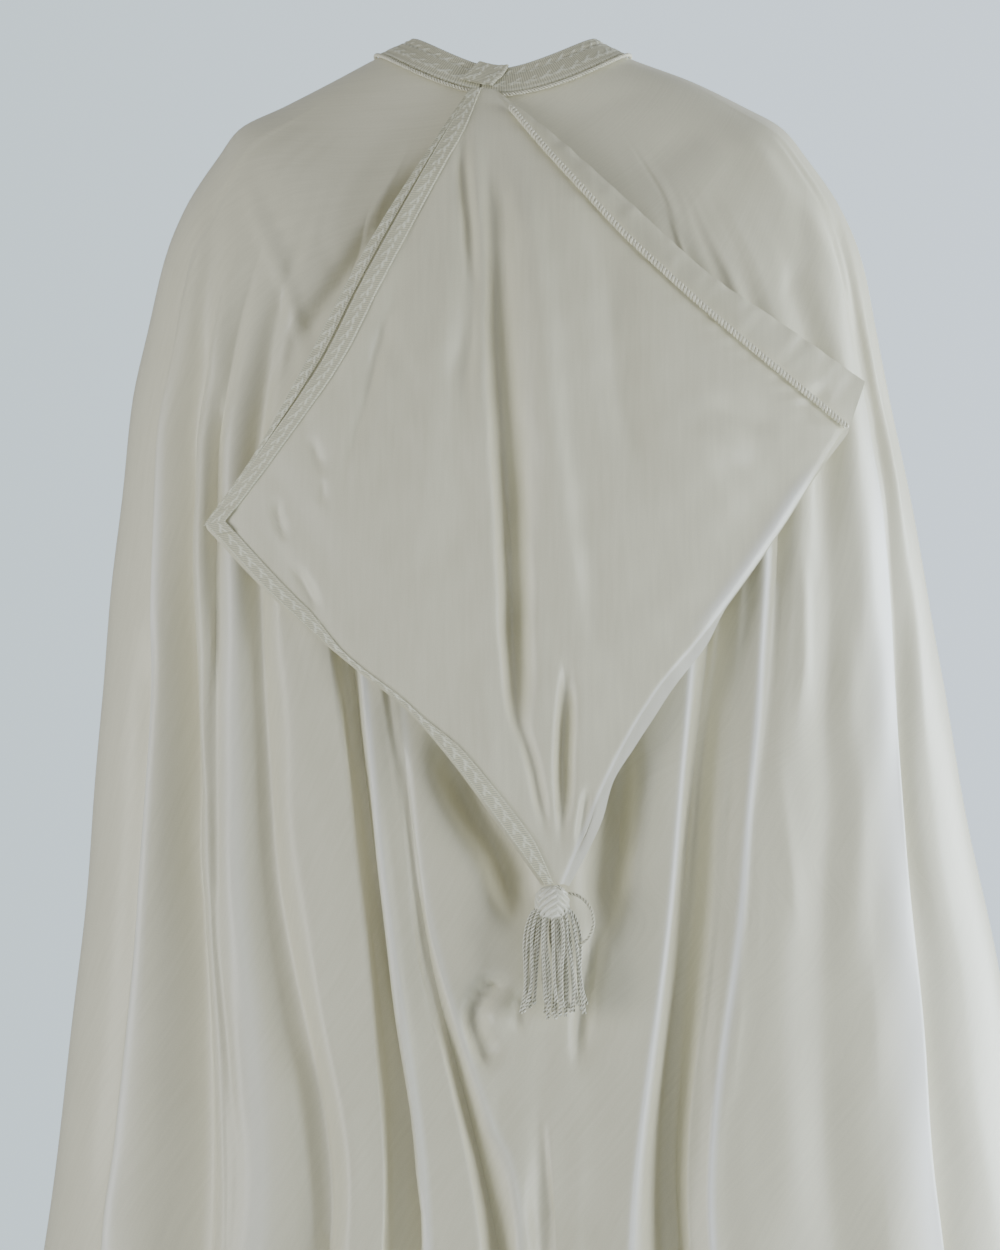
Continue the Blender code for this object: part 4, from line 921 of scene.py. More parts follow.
def braid_piece(name, base, normal, gap, colours, node, thickness=BRAID, fold=0.0):
    """A woven braid on a grid of points: rows run along it and columns across it.

    fold is the depth of a line pressed along it."""
    along = lengths_along(base)
    wide = lengths_across(base)
    width = np.repeat(wide[:, -1:], base.shape[1], axis=1)
    across = wide - 0.5 * width
    middle = np.repeat(along[:, base.shape[1] // 2, None], base.shape[1], 1)
    height, floats = braid_relief(middle, across, width)
    height = height * ease(width, *RELIEF_FROM) + crowned(across, width, thickness)
    if fold:
        height = height - fold * np.exp(-((across / width - FOLD_PLACE) / FOLD_WIDTH) ** 2)
    outer = base + (gap + BRAID_BODY * thickness + height)[..., None] * normal
    inner = base + gap * normal
    piece = shell(name, outer, inner, normal, np.stack([middle, across], -1), finish(colours, "woven braid"),
                  {"float": floats})
    settle(piece, "braid", node)


# ---- materials
def new_material(name, colour, sockets):
    """A material with its shader's plain sockets set, and the tree to build on."""
    material = bpy.data.materials.new(name)
    material.use_nodes = True
    shader = material.node_tree.nodes["Principled BSDF"]
    for socket, value in {"Base Color": (*colour, 1.0), "Metallic": 0.0, **sockets}.items():
        shader.inputs[socket].default_value = value
    return material, material.node_tree, shader


def add_node(tree, kind, **values):
    """A node of one kind, with properties set by name and sockets set by their labels."""
    node = tree.nodes.new(kind)
    for key, value in values.items():
        if key in node.inputs:
            node.inputs[key].default_value = value
        else:
            setattr(node, key, value)
    return node


def scaled_place(tree, source, scale):
    """The cloth's flat coordinates or the object's own, stretched by a scale."""
    place = add_node(tree, "ShaderNodeTexCoord")
    mapping = add_node(tree, "ShaderNodeMapping", Scale=scale)
    tree.links.new(place.outputs[source], mapping.inputs["Vector"])
    return mapping.outputs["Vector"]


def noise(tree, place, scale, detail=3.0):
    """A noise texture's value."""
    node = add_node(tree, "ShaderNodeTexNoise", Scale=scale, Detail=detail, Roughness=0.55)
    tree.links.new(place, node.inputs["Vector"])
    return node.outputs["Fac"]


def wave(tree, place, scale, direction, distortion):
    """Even bands, as of threads that lie side by side."""
    node = add_node(tree, "ShaderNodeTexWave", wave_type="BANDS", bands_direction=direction,
                    wave_profile="SIN", Scale=scale, Distortion=distortion, Detail=1.0)
    tree.links.new(place, node.inputs["Vector"])
    return node.outputs["Fac"]


def ramp(tree, value, stops):
    """Colours read from a value."""
    node = add_node(tree, "ShaderNodeValToRGB")
    band = node.color_ramp
    while len(band.elements) < len(stops):
        band.elements.new(0.5)
    for element, (place, colour) in zip(band.elements, stops):
        element.position = place
        element.color = (*colour, 1.0)
    tree.links.new(value, node.inputs["Fac"])
    return node.outputs["Color"]


def multiplied(tree, first, second):
    """Two colours multiplied."""
    node = add_node(tree, "ShaderNodeMix", data_type="RGBA", blend_type="MULTIPLY", Factor=1.0)
    tree.links.new(first, node.inputs["A"])
    tree.links.new(second, node.inputs["B"])
    return node.outputs["Result"]


def brightened(tree, amount, below, colour):
    """A colour that gives way to a lighter one by an amount from 0 to 1."""
    node = add_node(tree, "ShaderNodeMix", data_type="RGBA")
    tree.links.new(amount, node.inputs["Factor"])
    tree.links.new(below, node.inputs["A"])
    node.inputs["B"].default_value = (*colour, 1.0)
    return node.outputs["Result"]


def spread_value(tree, value, low, high):
    """A value from 0 to 1 spread between two numbers."""
    node = add_node(tree, "ShaderNodeMapRange")
    node.inputs["To Min"].default_value = low
    node.inputs["To Max"].default_value = high
    tree.links.new(value, node.inputs["Value"])
    return node.outputs["Result"]


def bumped(tree, value, strength, distance, below=None):
    """A bump from a value, on top of another bump."""
    node = add_node(tree, "ShaderNodeBump", Strength=strength, Distance=distance)
    tree.links.new(value, node.inputs["Height"])
    if below is not None:
        tree.links.new(below, node.inputs["Normal"])
    return node.outputs["Normal"]


def shade(colour, factor):
    """A colour made lighter or darker."""
    return tuple(min(1.0, channel * factor) for channel in colour)


def crepe_material(name, colour):
    """Satin-back crepe: fine uneven grain, faint long streaks of the weave, soft sheen, and a painted
    highlight along the crests.
    """
    material, tree, shader = new_material(name, colour, {
        "Roughness": 0.50, "Specular IOR Level": 0.65, "Sheen Weight": 0.20, "Sheen Roughness": 0.45,
        "Sheen Tint": (1.0, 0.99, 0.96, 1.0)})
    cloudy = noise(tree, scaled_place(tree, "Object", (1.0, 1.0, 0.45)), 7.0)
    streaks = noise(tree, scaled_place(tree, "UV", (300.0, 24.0, 1.0)), 1.0)
    grain = noise(tree, scaled_place(tree, "UV", (1500.0, 1100.0, 1.0)), 1.0, 2.0)
    warp = wave(tree, scaled_place(tree, "UV", (1.0, 1.0, 1.0)), 560.0, "X", 0.6)
    weft = wave(tree, scaled_place(tree, "UV", (1.0, 1.0, 1.0)), 470.0, "Y", 0.6)
    base = ramp(tree, cloudy, [(0.30, shade(colour, 0.965)), (0.70, shade(colour, 1.025))])
    fine = ramp(tree, streaks, [(0.30, (0.935, 0.935, 0.92)), (0.72, (1.0, 1.0, 1.0))])
    speck = ramp(tree, grain, [(0.30, (0.925, 0.925, 0.91)), (0.68, (1.0, 1.0, 1.0))])
    # painted highlight: the crest attribute lightens the colour along the folds' crests and the hood's rims
    crest = add_node(tree, "ShaderNodeAttribute", attribute_name="crest").outputs["Fac"]
    woven = multiplied(tree, multiplied(tree, base, fine), speck)
    tree.links.new(brightened(tree, crest, woven, shade(colour, 1.55)), shader.inputs["Base Color"])
    tree.links.new(spread_value(tree, streaks, 0.34, 0.46), shader.inputs["Roughness"])
    threads = bumped(tree, warp, 0.10, 0.00012)
    threads = bumped(tree, weft, 0.10, 0.00012, threads)
    tree.links.new(bumped(tree, grain, 0.30, 0.00016, threads), shader.inputs["Normal"])
    return material


def braid_material(name, colour):
    """Woven braid: fine slanted ribs in mercerised thread with painted shade in their grooves, and satin
    floats that stand up from them, lighter by a painted highlight.
    """
    material, tree, shader = new_material(name, colour, {
        "Roughness": 0.55, "Specular IOR Level": 0.45, "Sheen Weight": 0.12, "Sheen Roughness": 0.40})
    raised = add_node(tree, "ShaderNodeAttribute", attribute_name="float").outputs["Fac"]
    ribs = wave(tree, scaled_place(tree, "UV", (1.0, 0.35, 1.0)), 196.0, "X", 0.5)
    threads = wave(tree, scaled_place(tree, "UV", (1.0, 1.0, 1.0)), 420.0, "Y", 0.8)
    grain = noise(tree, scaled_place(tree, "UV", (900.0, 1300.0, 1.0)), 1.0, 2.0)
    # painted shade: the colour is darker in the grooves between the ribs
    shaded_rib_ground = ramp(tree, ribs, [(0.15, shade(colour, 0.68)), (0.70, shade(colour, 1.02))])
    speck = ramp(tree, grain, [(0.3, (0.88, 0.88, 0.85)), (0.7, (1, 1, 1))])
    # painted highlight: the raised floats and beads are lighter in the colour
    floats = brightened(tree, spread_value(tree, raised, 0.0, 0.85), multiplied(tree, shaded_rib_ground, speck),
                        shade(colour, 1.45))
    tree.links.new(floats, shader.inputs["Base Color"])
    tree.links.new(spread_value(tree, raised, 0.60, 0.32), shader.inputs["Roughness"])
    relief = bumped(tree, ribs, 0.35, 0.00022)
    relief = bumped(tree, threads, 0.22, 0.00012, relief)
    tree.links.new(bumped(tree, grain, 0.30, 0.00012, relief), shader.inputs["Normal"])
    return material


def thread_material(name, colour, roughness, sheen, gloss):
    """Twisted thread: fine fibres along each ply, painted shade where the plies lie deep, with some sheen."""
    material, tree, shader = new_material(name, colour, {
        "Roughness": roughness, "Specular IOR Level": gloss, "Sheen Weight": sheen, "Sheen Roughness": 0.35})
    fibres = noise(tree, scaled_place(tree, "UV", (260.0, 2400.0, 1.0)), 1.0)
    lengthwise = noise(tree, scaled_place(tree, "Object", (1.0, 1.0, 1.0)), 260.0, 2.0)
    base = ramp(tree, fibres, [(0.28, shade(colour, 0.90)), (0.66, shade(colour, 1.22))])
    patch = ramp(tree, lengthwise, [(0.3, (0.93, 0.93, 0.90)), (0.7, (1.0, 1.0, 1.0))])
    # painted shade: the flat coordinate's second value darkens the colour where a ply faces the other one and
    # in the grooves of the tassel's head
    parts = add_node(tree, "ShaderNodeSeparateXYZ")
    tree.links.new(scaled_place(tree, "UV", (1.0, 1.0 / ROUND_FLAT, 1.0)), parts.inputs["Vector"])
    between = ramp(tree, parts.outputs["Y"], [(0.14, (1.0, 1.0, 1.0)), (0.42, (0.88, 0.87, 0.83)),
                                              (0.74, (0.46, 0.44, 0.36))])
    thread = multiplied(tree, multiplied(tree, base, patch), between)
    tree.links.new(thread, shader.inputs["Base Color"])
    tree.links.new(spread_value(tree, fibres, roughness - 0.08, roughness + 0.10), shader.inputs["Roughness"])
    tree.links.new(bumped(tree, fibres, 0.40, 0.00015), shader.inputs["Normal"])
    return material


def floor_material(name, colour):
    """A plain pale floor with a faint unevenness."""
    material, tree, shader = new_material(name, colour, {"Roughness": 0.75})
    soft = noise(tree, scaled_place(tree, "Object", (1.0, 1.0, 1.0)), 3.0)
    tree.links.new(ramp(tree, soft, [(0.3, shade(colour, 0.97)), (0.7, colour)]), shader.inputs["Base Color"])
    return material


FINISHES = {
    "ivory crepe": (crepe_material, "cloth_colour"),
    "woven braid": (braid_material, "braid_colour"),
    "twisted cord": (thread_material, "cord_colour", 0.50, 0.20, 0.45),
    "tassel silk": (thread_material, "silk_colour", 0.32, 0.25, 0.80),
    "pale floor": (floor_material, "floor_colour"),
}


def finish(colours, name):
    """One of the finishes, made the first time that it is asked for and used again after that."""
    maker, colour, *values = FINISHES[name]
    return bpy.data.materials.get(name) or maker(name, tuple(getattr(colours, colour)), *values)


# ---- sizes and colours that a user would change
class BurnousClothSettings(bpy.types.PropertyGroup):
    """Sizes of the cloth."""
    cloak_thickness: bpy.props.FloatProperty(
        name="Cloak Cloth", description="Thickness of the cloak's cloth", default=0.0011,
        min=0.0003, max=0.002, unit="LENGTH")
    hood_thickness: bpy.props.FloatProperty(
        name="Hood Cloth", description="Thickness of each layer of the hood", default=0.0009,
        min=0.0003, max=0.0015, unit="LENGTH")
    crease_strength: bpy.props.FloatProperty(
        name="Creases", description="How deep the small creases are, 1 being full", default=1.0,
        min=0.0, max=1.5, subtype="FACTOR")
    hem_roll: bpy.props.FloatProperty(
        name="Hem Roll", description="How much thicker the rolled hem is than the cloth", default=0.0008,
        min=0.0, max=0.002, unit="LENGTH")
    cut_width: bpy.props.FloatProperty(
        name="Cut Width", description="Straight side of the half-round piece the cloak is cut as",
        default=3.0, unit="LENGTH")
    cut_length: bpy.props.FloatProperty(
        name="Cut Length", description="Depth of the half-round piece the cloak is cut as", default=1.5,
        unit="LENGTH")
    cut_area: bpy.props.FloatProperty(
        name="Cut Area", description="Area of the half-round piece the cloak is cut as", default=3.45,
        unit="AREA")


class BurnousTrimSettings(bpy.types.PropertyGroup):
    """Sizes of the braids, cords and tassel."""
    braid_cell: bpy.props.FloatProperty(
        name="Braid Mesh", description="Distance between the points of a braid's mesh", default=0.0009,
        min=0.0004, max=0.003, unit="LENGTH")
    neck_pitch: bpy.props.FloatProperty(
        name="Neck Cord Pitch", description="Length of one turn of the cord under the neck braids",
        default=0.0046, unit="LENGTH")
    hood_pitch: bpy.props.FloatProperty(
        name="Hood Cord Pitch", description="Length of one turn of the cord on the hood", default=0.0056,
        unit="LENGTH")
    strand_pitch: bpy.props.FloatProperty(
        name="Strand Pitch", description="Length of one turn of a tassel strand", default=0.0054,
        unit="LENGTH")


class BurnousColourSettings(bpy.types.PropertyGroup):
    """Colours of the threads, the cloth and the studio."""
    cloth_colour: bpy.props.FloatVectorProperty(
        name="Cloth", description="Colour of the crepe", subtype="COLOR", size=3, min=0.0, max=1.0,
        default=(0.830, 0.795, 0.620))
    braid_colour: bpy.props.FloatVectorProperty(
        name="Braid", description="Colour of the woven braid", subtype="COLOR", size=3, min=0.0, max=1.0,
        default=(0.80, 0.77, 0.58))
    cord_colour: bpy.props.FloatVectorProperty(
        name="Cord", description="Colour of the twisted cords", subtype="COLOR", size=3, min=0.0, max=1.0,
        default=(0.80, 0.775, 0.64))
    silk_colour: bpy.props.FloatVectorProperty(
        name="Tassel", description="Colour of the tassel's silk", subtype="COLOR", size=3, min=0.0, max=1.0,
        default=(0.93, 0.90, 0.75))
    floor_colour: bpy.props.FloatVectorProperty(
        name="Floor", description="Colour of the floor", subtype="COLOR", size=3, min=0.0, max=1.0,
        default=(0.62, 0.65, 0.67))
    sky_left: bpy.props.FloatVectorProperty(
        name="Backdrop Left", description="Colour behind the cloak on its left", subtype="COLOR", size=3,
        min=0.0, max=1.0, default=(0.61, 0.73, 0.79))
    sky_right: bpy.props.FloatVectorProperty(
        name="Backdrop Right", description="Colour behind the cloak on its right", subtype="COLOR", size=3,
        min=0.0, max=1.0, default=(0.76, 0.885, 1.00))


class BurnousStageSettings(bpy.types.PropertyGroup):
    """Lights and camera."""
    sky_strength: bpy.props.FloatProperty(
        name="Sky", description="Strength of the even light from all round", default=0.26, min=0.0)
    backdrop_strength: bpy.props.FloatProperty(
        name="Backdrop", description="How bright the backdrop looks", default=1.40, min=0.0)
    right_light: bpy.props.FloatProperty(
        name="Right Light", description="Power of the large window-like light on the right", default=66.0,
        min=0.0, unit="POWER")
    left_light: bpy.props.FloatProperty(
        name="Left Light", description="Power of the weaker light on the left", default=47.0, min=0.0,
        unit="POWER")
    key_light: bpy.props.FloatProperty(
        name="Key Light", description="Power of the soft light behind the camera", default=5.0, min=0.0,
        unit="POWER")
    rim_light: bpy.props.FloatProperty(
        name="Rim Light", description="Power of the cool light far round on the right", default=150.0,
        min=0.0, unit="POWER")
    top_light: bpy.props.FloatProperty(
        name="Top Light", description="Power of the light overhead", default=5.0, min=0.0, unit="POWER")
    camera_distance: bpy.props.FloatProperty(
        name="Camera Distance", description="How far behind the neck the camera stands", default=2.6,
        unit="LENGTH")
    camera_height: bpy.props.FloatProperty(
        name="Camera Height", description="Height of the camera from the neck", default=-0.400,
        unit="LENGTH")
    picture_height: bpy.props.FloatProperty(
        name="Picture Height", description="Height of what the camera sees at the neck", default=0.90625,
        unit="LENGTH")
    floor_level: bpy.props.FloatProperty(
        name="Floor Level", description="Height of the floor from the neck", default=-1.50, unit="LENGTH")


# ---- pieces
class BURNOUS_OT_loop_cord(bpy.types.Operator):
    """Make the loose loop of cord beside the tassel"""
    bl_idname = "burnous.loop_cord"
    bl_label = "Loop Cord"

    def execute(self, context):
        line = smooth_route(LOOP_ROUTE, 60)
        beside = np.repeat(BEHIND[None], len(line), axis=0)
        piece = twisted_cord("loop_cord", line, beside, LOOP_APART, LOOP_CORD, LOOP_PITCH, CORD_SIDES,
                             context.scene.burnous_colours)
        settle(piece, "twisted_cord", "tassel_loop")
        return {"FINISHED"}


class BURNOUS_OT_cloak(bpy.types.Operator):
    """Make the draped cloth of the cloak with its folds, creases and rolled hem"""
    bl_idname = "burnous.cloak"
    bl_label = "Cloak"

    def execute(self, context):
        cloth = context.scene.burnous_cloth
        outer, flat, crest = cloak_cloth_grid(cloth.crease_strength)
        towards = from_axis(outer)
        normal = outward(outer, towards)
        steps = cloak_steps()
        roll = cloth.hem_roll * ease(steps, steps[-1] - HEM_START, steps[-1] - HEM_FULL)
        roll = roll * (1.0 - 0.6 * ease(steps, steps[-1] - HEM_ROUND, steps[-1]))
        outer = outer + 0.4 * roll[:, None, None] * normal
        inner = outer - (cloth.cloak_thickness + roll)[:, None, None] * normal
        # the crest attribute carries the painted highlight along the cloak's crests
        piece = shell("cloak", outer, inner, towards, flat,
                      finish(context.scene.burnous_colours, "ivory crepe"), {"crest": crest})
        settle(piece, "ivory_crepe", "cloak_cloth")
        return {"FINISHED"}


class BURNOUS_OT_neck_trims(bpy.types.Operator):
    """Make the two braids along the neckline, their twisted cords and the turned-up braid at the nape"""
    bl_idname = "burnous.neck_trims"
    bl_label = "Neck Trims"

    def execute(self, context):
        trims = context.scene.burnous_trims
        colours = context.scene.burnous_colours
        front = fold_angles(0.0)
        sides = {"left": (front[0], NAPE_ANGLE - BAND_END), "right": (NAPE_ANGLE + BAND_END, front[-1])}
        columns = int(NECK_BAND_WIDTH / trims.braid_cell)
        across = np.linspace(BAND_INSET, NECK_BAND_WIDTH - BAND_INSET, columns)
        middle = NECK_BAND_WIDTH + NECK_CORD / 2.0 + BAND_INSET
        for side, (first, last) in sides.items():
            around = np.linspace(first, last, 300)
            grid = np.swapaxes([cloak_point(step, around) for step in across], 0, 1)
            normal = outward(grid, from_axis(grid))
            braid_piece("neck_braid_" + side, grid, normal, LIE_GAP, colours, "neck_band_" + side,
                        fold=BAND_CREASE)
            under = np.array([cloak_point(step, around) for step in (middle - 0.002, middle, middle + 0.002)])
            out = outward(under, from_axis(under))[1]
            line = under[1] + (NECK_CORD / 2.0 + LIE_GAP) * out
            piece = twisted_cord("neck_twist_" + side, line, out, trims.neck_pitch / 10.0, NECK_CORD,
                                 trims.neck_pitch, CORD_SIDES, colours)
            settle(piece, "twisted_cord", "neck_cord_" + side)
        around = np.linspace(NAPE_ANGLE - WRAP_HALF_ANGLE, NAPE_ANGLE + WRAP_HALF_ANGLE, 26)
        steps = np.linspace(*WRAP_STEPS, 36)
        slant = np.linspace(0.5, -0.5, len(steps)) * WRAP_SLANT
        grid = np.array([cloak_point(step, around + turn) for step, turn in zip(steps, slant)])
        normal = outward(grid, from_axis(grid))
        braid_piece("turned_up_braid", grid, normal, LIE_GAP + BRAID + WRAP_GAP, colours, "hood_top_wrap",
                    thickness=WRAP_BRAID)
        return {"FINISHED"}


class BURNOUS_OT_chest_closure(bpy.types.Operator):
    """Make the two braids and the cord that hold the front edges together over the chest"""
    bl_idname = "burnous.chest_closure"
    bl_label = "Chest Closure"

    def execute(self, context):
        trims = context.scene.burnous_trims
        colours = context.scene.burnous_colours
        across = np.linspace(-CLOSURE_HALF_WIDTH, CLOSURE_HALF_WIDTH, CLOSURE_COLUMNS)
        middle = CLOSURE_COLUMNS // 2
        rows = []
        for step in np.linspace(CLOSURE_FROM, CLOSURE_TO, 200):
            half = np.where(across > 0.0, section_value("right", step), section_value("left", step))
            angle = angle_of(across, half, "front")
            angle[middle] = math.pi
            rows.append(cloak_point(step, angle))
        grid = np.array(rows)
        normal = outward(grid, from_axis(grid))
        along = lengths_along(grid)
        width = np.full(along.shape, CLOSURE_HALF_WIDTH)
        local = np.abs(np.broadcast_to(across, along.shape)) - 0.5 * CLOSURE_HALF_WIDTH
        height, floats = braid_relief(along, local, width)
        height = height + crowned(local, width, BRAID)
        outer = grid + (CLOSURE_GAP + BRAID_BODY * BRAID + height)[..., None] * normal
        inner = grid + CLOSURE_GAP * normal
        flat = np.stack([along, local], -1)
        piece = shell("chest_braid", outer, inner, normal, flat, finish(colours, "woven braid"),
                      {"float": floats})
        line = grid[:, middle] + (CLOSURE_GAP + 0.2 * BRAID + NECK_CORD / 2.0) * normal[:, middle]
        twist = twisted_cord("chest_twist", line, normal[:, middle], trims.neck_pitch / 10.0, NECK_CORD,
                             trims.neck_pitch, CORD_SIDES, colours)
        settle(piece, "braid", "chest_closure")
        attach(twist, "root")
        return {"FINISHED"}


class BURNOUS_OT_hood(bpy.types.Operator):
    """Make the two layers of the flat hood that hangs down the back"""
    bl_idname = "burnous.hood"
    bl_label = "Hood"

    def upper_layer(self, rows, left, right, reach, cloth, material):
        """The upper layer: puckered along the cord's seam, rolled at its rims, its low right edge turned, and
        a painted highlight along its rolled and low right rims.
        """
        share = np.broadcast_to(np.linspace(0.0, 1.0, HOOD_COLUMNS), (HOOD_ROWS, HOOD_COLUMNS))
        flat = between(left, right, share)
        span = np.linalg.norm(right - left, axis=-1)[:, None]
        from_left = span * share
        from_right = span * (1.0 - share)
        near_cord = np.exp(-from_right / 0.010) * (1.0 - ease(rows, *CORD_END))[:, None]
        pucker = waves(np.broadcast_to(reach, share.shape), from_left, 41, 5, (0.008, 0.018), (0.05, 0.2))
        drop = edge_drop(from_right, 0.0007, 0.0030) + edge_drop(from_left, 0.0004, 0.0020)
        puff = PUCKER_HEIGHT * near_cord * pucker * (1.0 - np.exp(-from_right / 0.002))
        edge = 0.8 * from_right
        rolled = (ease(rows, *ROLL_FROM) * (1.0 - ease(rows, *ROLL_TO)))[:, None]
        rolled = rolled * np.exp(-((edge - 0.0050) / 0.0050) ** 2)
        low_rim_highlight = ease(rows, *LOW_RIM_HIGHLIGHT)[:, None] * np.exp(-((edge - 0.0010) / 0.0016) ** 2)
        outer, normal = hood_lift(flat, puff - drop + ROLL_HEIGHT * rolled)
        inner = outer - cloth.hood_thickness * normal
        # painted highlight: the rolled rim and the low right rim are lightened in the colour
        crest = 0.8 * rolled + 0.7 * low_rim_highlight
        piece = shell("hood_upper", outer, inner, BEHIND, flat, material, {"crest": crest})
        settle(piece, "ivory_crepe", "hood_outer_layer")

    def under_layer(self, rows, left, right, reach, cloth, material):
        """The under layer: it fills the upper one's outline and shows past it in a margin on either side."""
        wide_left = under_outline("left", rows)
        wide_right = under_outline("right", rows)
        edge = np.linspace(0.0, 1.0, 6)[:-1]
        strip = np.linspace(0.0, 1.0, 17)[1:]
        middle = np.linspace(0.0, 1.0, 70)
        ones = np.ones((HOOD_ROWS, 1))
        flat = np.concatenate([between(wide_left, left, ones * edge), between(left, right, ones * middle),
                               between(right, wide_right, ones * strip)], axis=1)
        outside = np.linalg.norm(wide_right - right, axis=-1)[:, None] * (1.0 - strip)
        lift = np.full(flat.shape[:2], -HOOD_CLOTH - SEAM_GAP)
        share = np.broadcast_to(strip, (HOOD_ROWS, len(strip)))
        pucker = waves(np.broadcast_to(reach, share.shape), share, 42, 5, (0.010, 0.024), (0.8, 3.0))
        upper_half = (1.0 - ease(rows, *MARGIN_END))[:, None]
        relief = MARGIN_PUCKER * pucker * share - edge_drop(outside, 0.0006, 0.002)
        lift[:, -len(strip):] += upper_half * relief
        outer, normal = hood_lift(flat, lift)
        inner = outer - cloth.hood_thickness * normal
        # painted highlight: the low part of the right margin is lightened in the colour
        crest = np.zeros(flat.shape[:2])
        crest[:, -len(strip):] = 0.45 * ease(rows, *LOW_RIM_HIGHLIGHT)[:, None]
        piece = shell("hood_under", outer, inner, BEHIND, flat, material, {"crest": crest})
        settle(piece, "ivory_crepe", "hood_under_layer")

    def execute(self, context):
        rows = np.linspace(0.0, 1.0, HOOD_ROWS)
        left = upper_outline("left", rows)
        right = upper_outline("right", rows)
        shared = (rows, left, right, lengths_along(right)[:, None], context.scene.burnous_cloth,
                  finish(context.scene.burnous_colours, "ivory crepe"))
        self.upper_layer(*shared)
        self.under_layer(*shared)
        return {"FINISHED"}


class BURNOUS_OT_hood_trims(bpy.types.Operator):
    """Make the braids along the hood's left edges and the twisted cord along its right seam"""
    bl_idname = "burnous.hood_trims"
    bl_label = "Hood Trims"

    def braid(self, name, node, rows, first, last, lift, columns, colours):
        """A braid on the hanging hood between two outlines, row by row."""
        share = np.broadcast_to(np.linspace(0.0, 1.0, columns), (len(rows), columns))
        base, normal = hood_lift(between(first, last, share))
        braid_piece(name, base, normal, lift, colours, node)

    def execute(self, context):
        trims = context.scene.burnous_trims
        colours = context.scene.burnous_colours
        corner_from, corner_to = CORNER_ROWS
        face_rows = int(FACE_BRAID_LENGTH / trims.braid_cell)
        low_rows = int(LOW_BRAID_LENGTH / trims.braid_cell)
        for name, node, first, last, count, lift, columns in (
                ("face_braid_upper", "hood_face_braid_outer", 0.0, corner_from, face_rows, SEAM_GAP, 18),
                ("lower_braid", "hood_lower_braid", corner_to, 1.0, low_rows, SEAM_GAP, 18),
                ("corner_braid", "hood_corner_wrap", corner_from, corner_to, 34, 2.0 * SEAM_GAP + BRAID, 22)):
            rows = np.linspace(first, last, count)
            left = upper_outline("left", rows)
            inner = left + (upper_outline("right", rows) - left) * braid_share(rows)[:, None]
            self.braid(name, node, rows, left, inner, lift, columns, colours)
        rows = np.linspace(0.0, 0.5, face_rows)
        edge = under_outline("left", rows)
        inner = edge + MARGIN_BRAID_SHARE * (upper_outline("left", rows) - edge)
        self.braid("face_braid_lower", "hood_face_braid_under", rows, edge, inner, -HOOD_CLOTH, 18, colours)
        rows = np.linspace(*SEAM_ROWS, 300)
        line, normal = hood_lift(upper_outline("right", rows), np.full(len(rows), HOOD_CORD / 2.0 + SEAM_GAP))
        piece = twisted_cord("hood_twist", line, normal, trims.hood_pitch / 16.0, HOOD_CORD, trims.hood_pitch,
                             HOOD_CORD_SIDES, colours)
        settle(piece, "twisted_cord", "hood_seam_cord")
        return {"FINISHED"}


def strand_lines(stations):
    """Centre lines of all strands: out of the head, down and slightly apart, each with its own sway."""
    random = np.random.default_rng(7)
    part = np.linspace(0.0, 1.0, stations)
    flare = part ** STRAND_FLARE
    lines = []
    rays = []
    for ring in STRAND_RINGS:
        for k in range(ring.count):
            around = 2.0 * math.pi * (k + ring.turn) / ring.count
            length = ring.length * (1.0 + UNEVEN_CUT * math.sin(UNEVEN_STEP * k + ring.count))
            sway = random.uniform(-STRAND_SWAY, STRAND_SWAY, 2)
            bow = random.uniform(-STRAND_BOW, STRAND_BOW, 2)
            x = math.cos(around) * (ring.root_x + (ring.end_x - ring.root_x) * flare)
            y = math.sin(around) * (ring.root_y + (ring.end_y - ring.root_y) * flare)
            x = TASSEL_TOP[0] + x + sway[0] * part ** 2 + bow[0] * np.sin(2.0 * math.pi * part)
            y = TASSEL_TOP[1] + y - TASSEL_LEAN * part + 0.5 * sway[1] * part ** 2
            y = y + 0.5 * bow[1] * np.sin(2.0 * math.pi * part)
            z = TASSEL_TOP[2] - TASSEL_HEAD_HEIGHT * ROOT_DEPTH - length * part
            lines.append(np.stack([x, y, z], -1))
            rays.append(np.repeat(np.array([[math.cos(around), math.sin(around), 0.0]]), stations, axis=0))
    return np.array(lines), np.array(rays)


def head_grid(rows, columns):
    """The tassel's head: a round body whose thread runs in slanting bands that meet in chevrons.

    A band is a sine wave of the height plus a zigzag of the angle, its crests made flatter by a power."""
    heights = np.linspace(0.0, 1.0, rows)[:, None]
    radius = follow([at for at, _ in HEAD_PROFILE], [wide for _, wide in HEAD_PROFILE], heights)
    turn = np.linspace(0.0, 2.0 * math.pi, columns + 1)[None, :]
    slant = np.abs((turn * HEAD_SECTORS / (2.0 * math.pi) % 2.0) - 1.0)
    bands = np.sin(2.0 * math.pi * (HEAD_BANDS * heights + 2.0 * slant + 0.15 * np.sin(3.0 * turn)))
    ridge = HEAD_RIDGE * np.sign(bands) * np.abs(bands) ** 0.6
    ridge = ridge * np.sin(math.pi * np.clip(heights, 0.04, 0.96))
    collar = HEAD_COLLAR * np.exp(-((heights - 0.92) / 0.05) ** 2)
    reach = TASSEL_HEAD_RADIUS * radius + ridge + collar
    x = TASSEL_TOP[0] + reach * np.cos(turn)
    y = TASSEL_TOP[1] + reach * np.sin(turn)
    z = np.broadcast_to(TASSEL_TOP[2] - TASSEL_HEAD_HEIGHT * heights, reach.shape)
    # painted shade: the grooves between the bands get a flat coordinate that the thread's material darkens
    groove_shade = 0.24 * ROUND_FLAT * (1.0 - bands)
    flat = np.stack([np.broadcast_to(turn * TASSEL_HEAD_RADIUS, reach.shape), groove_shade], -1)
    return np.stack([x, y, z], -1), flat


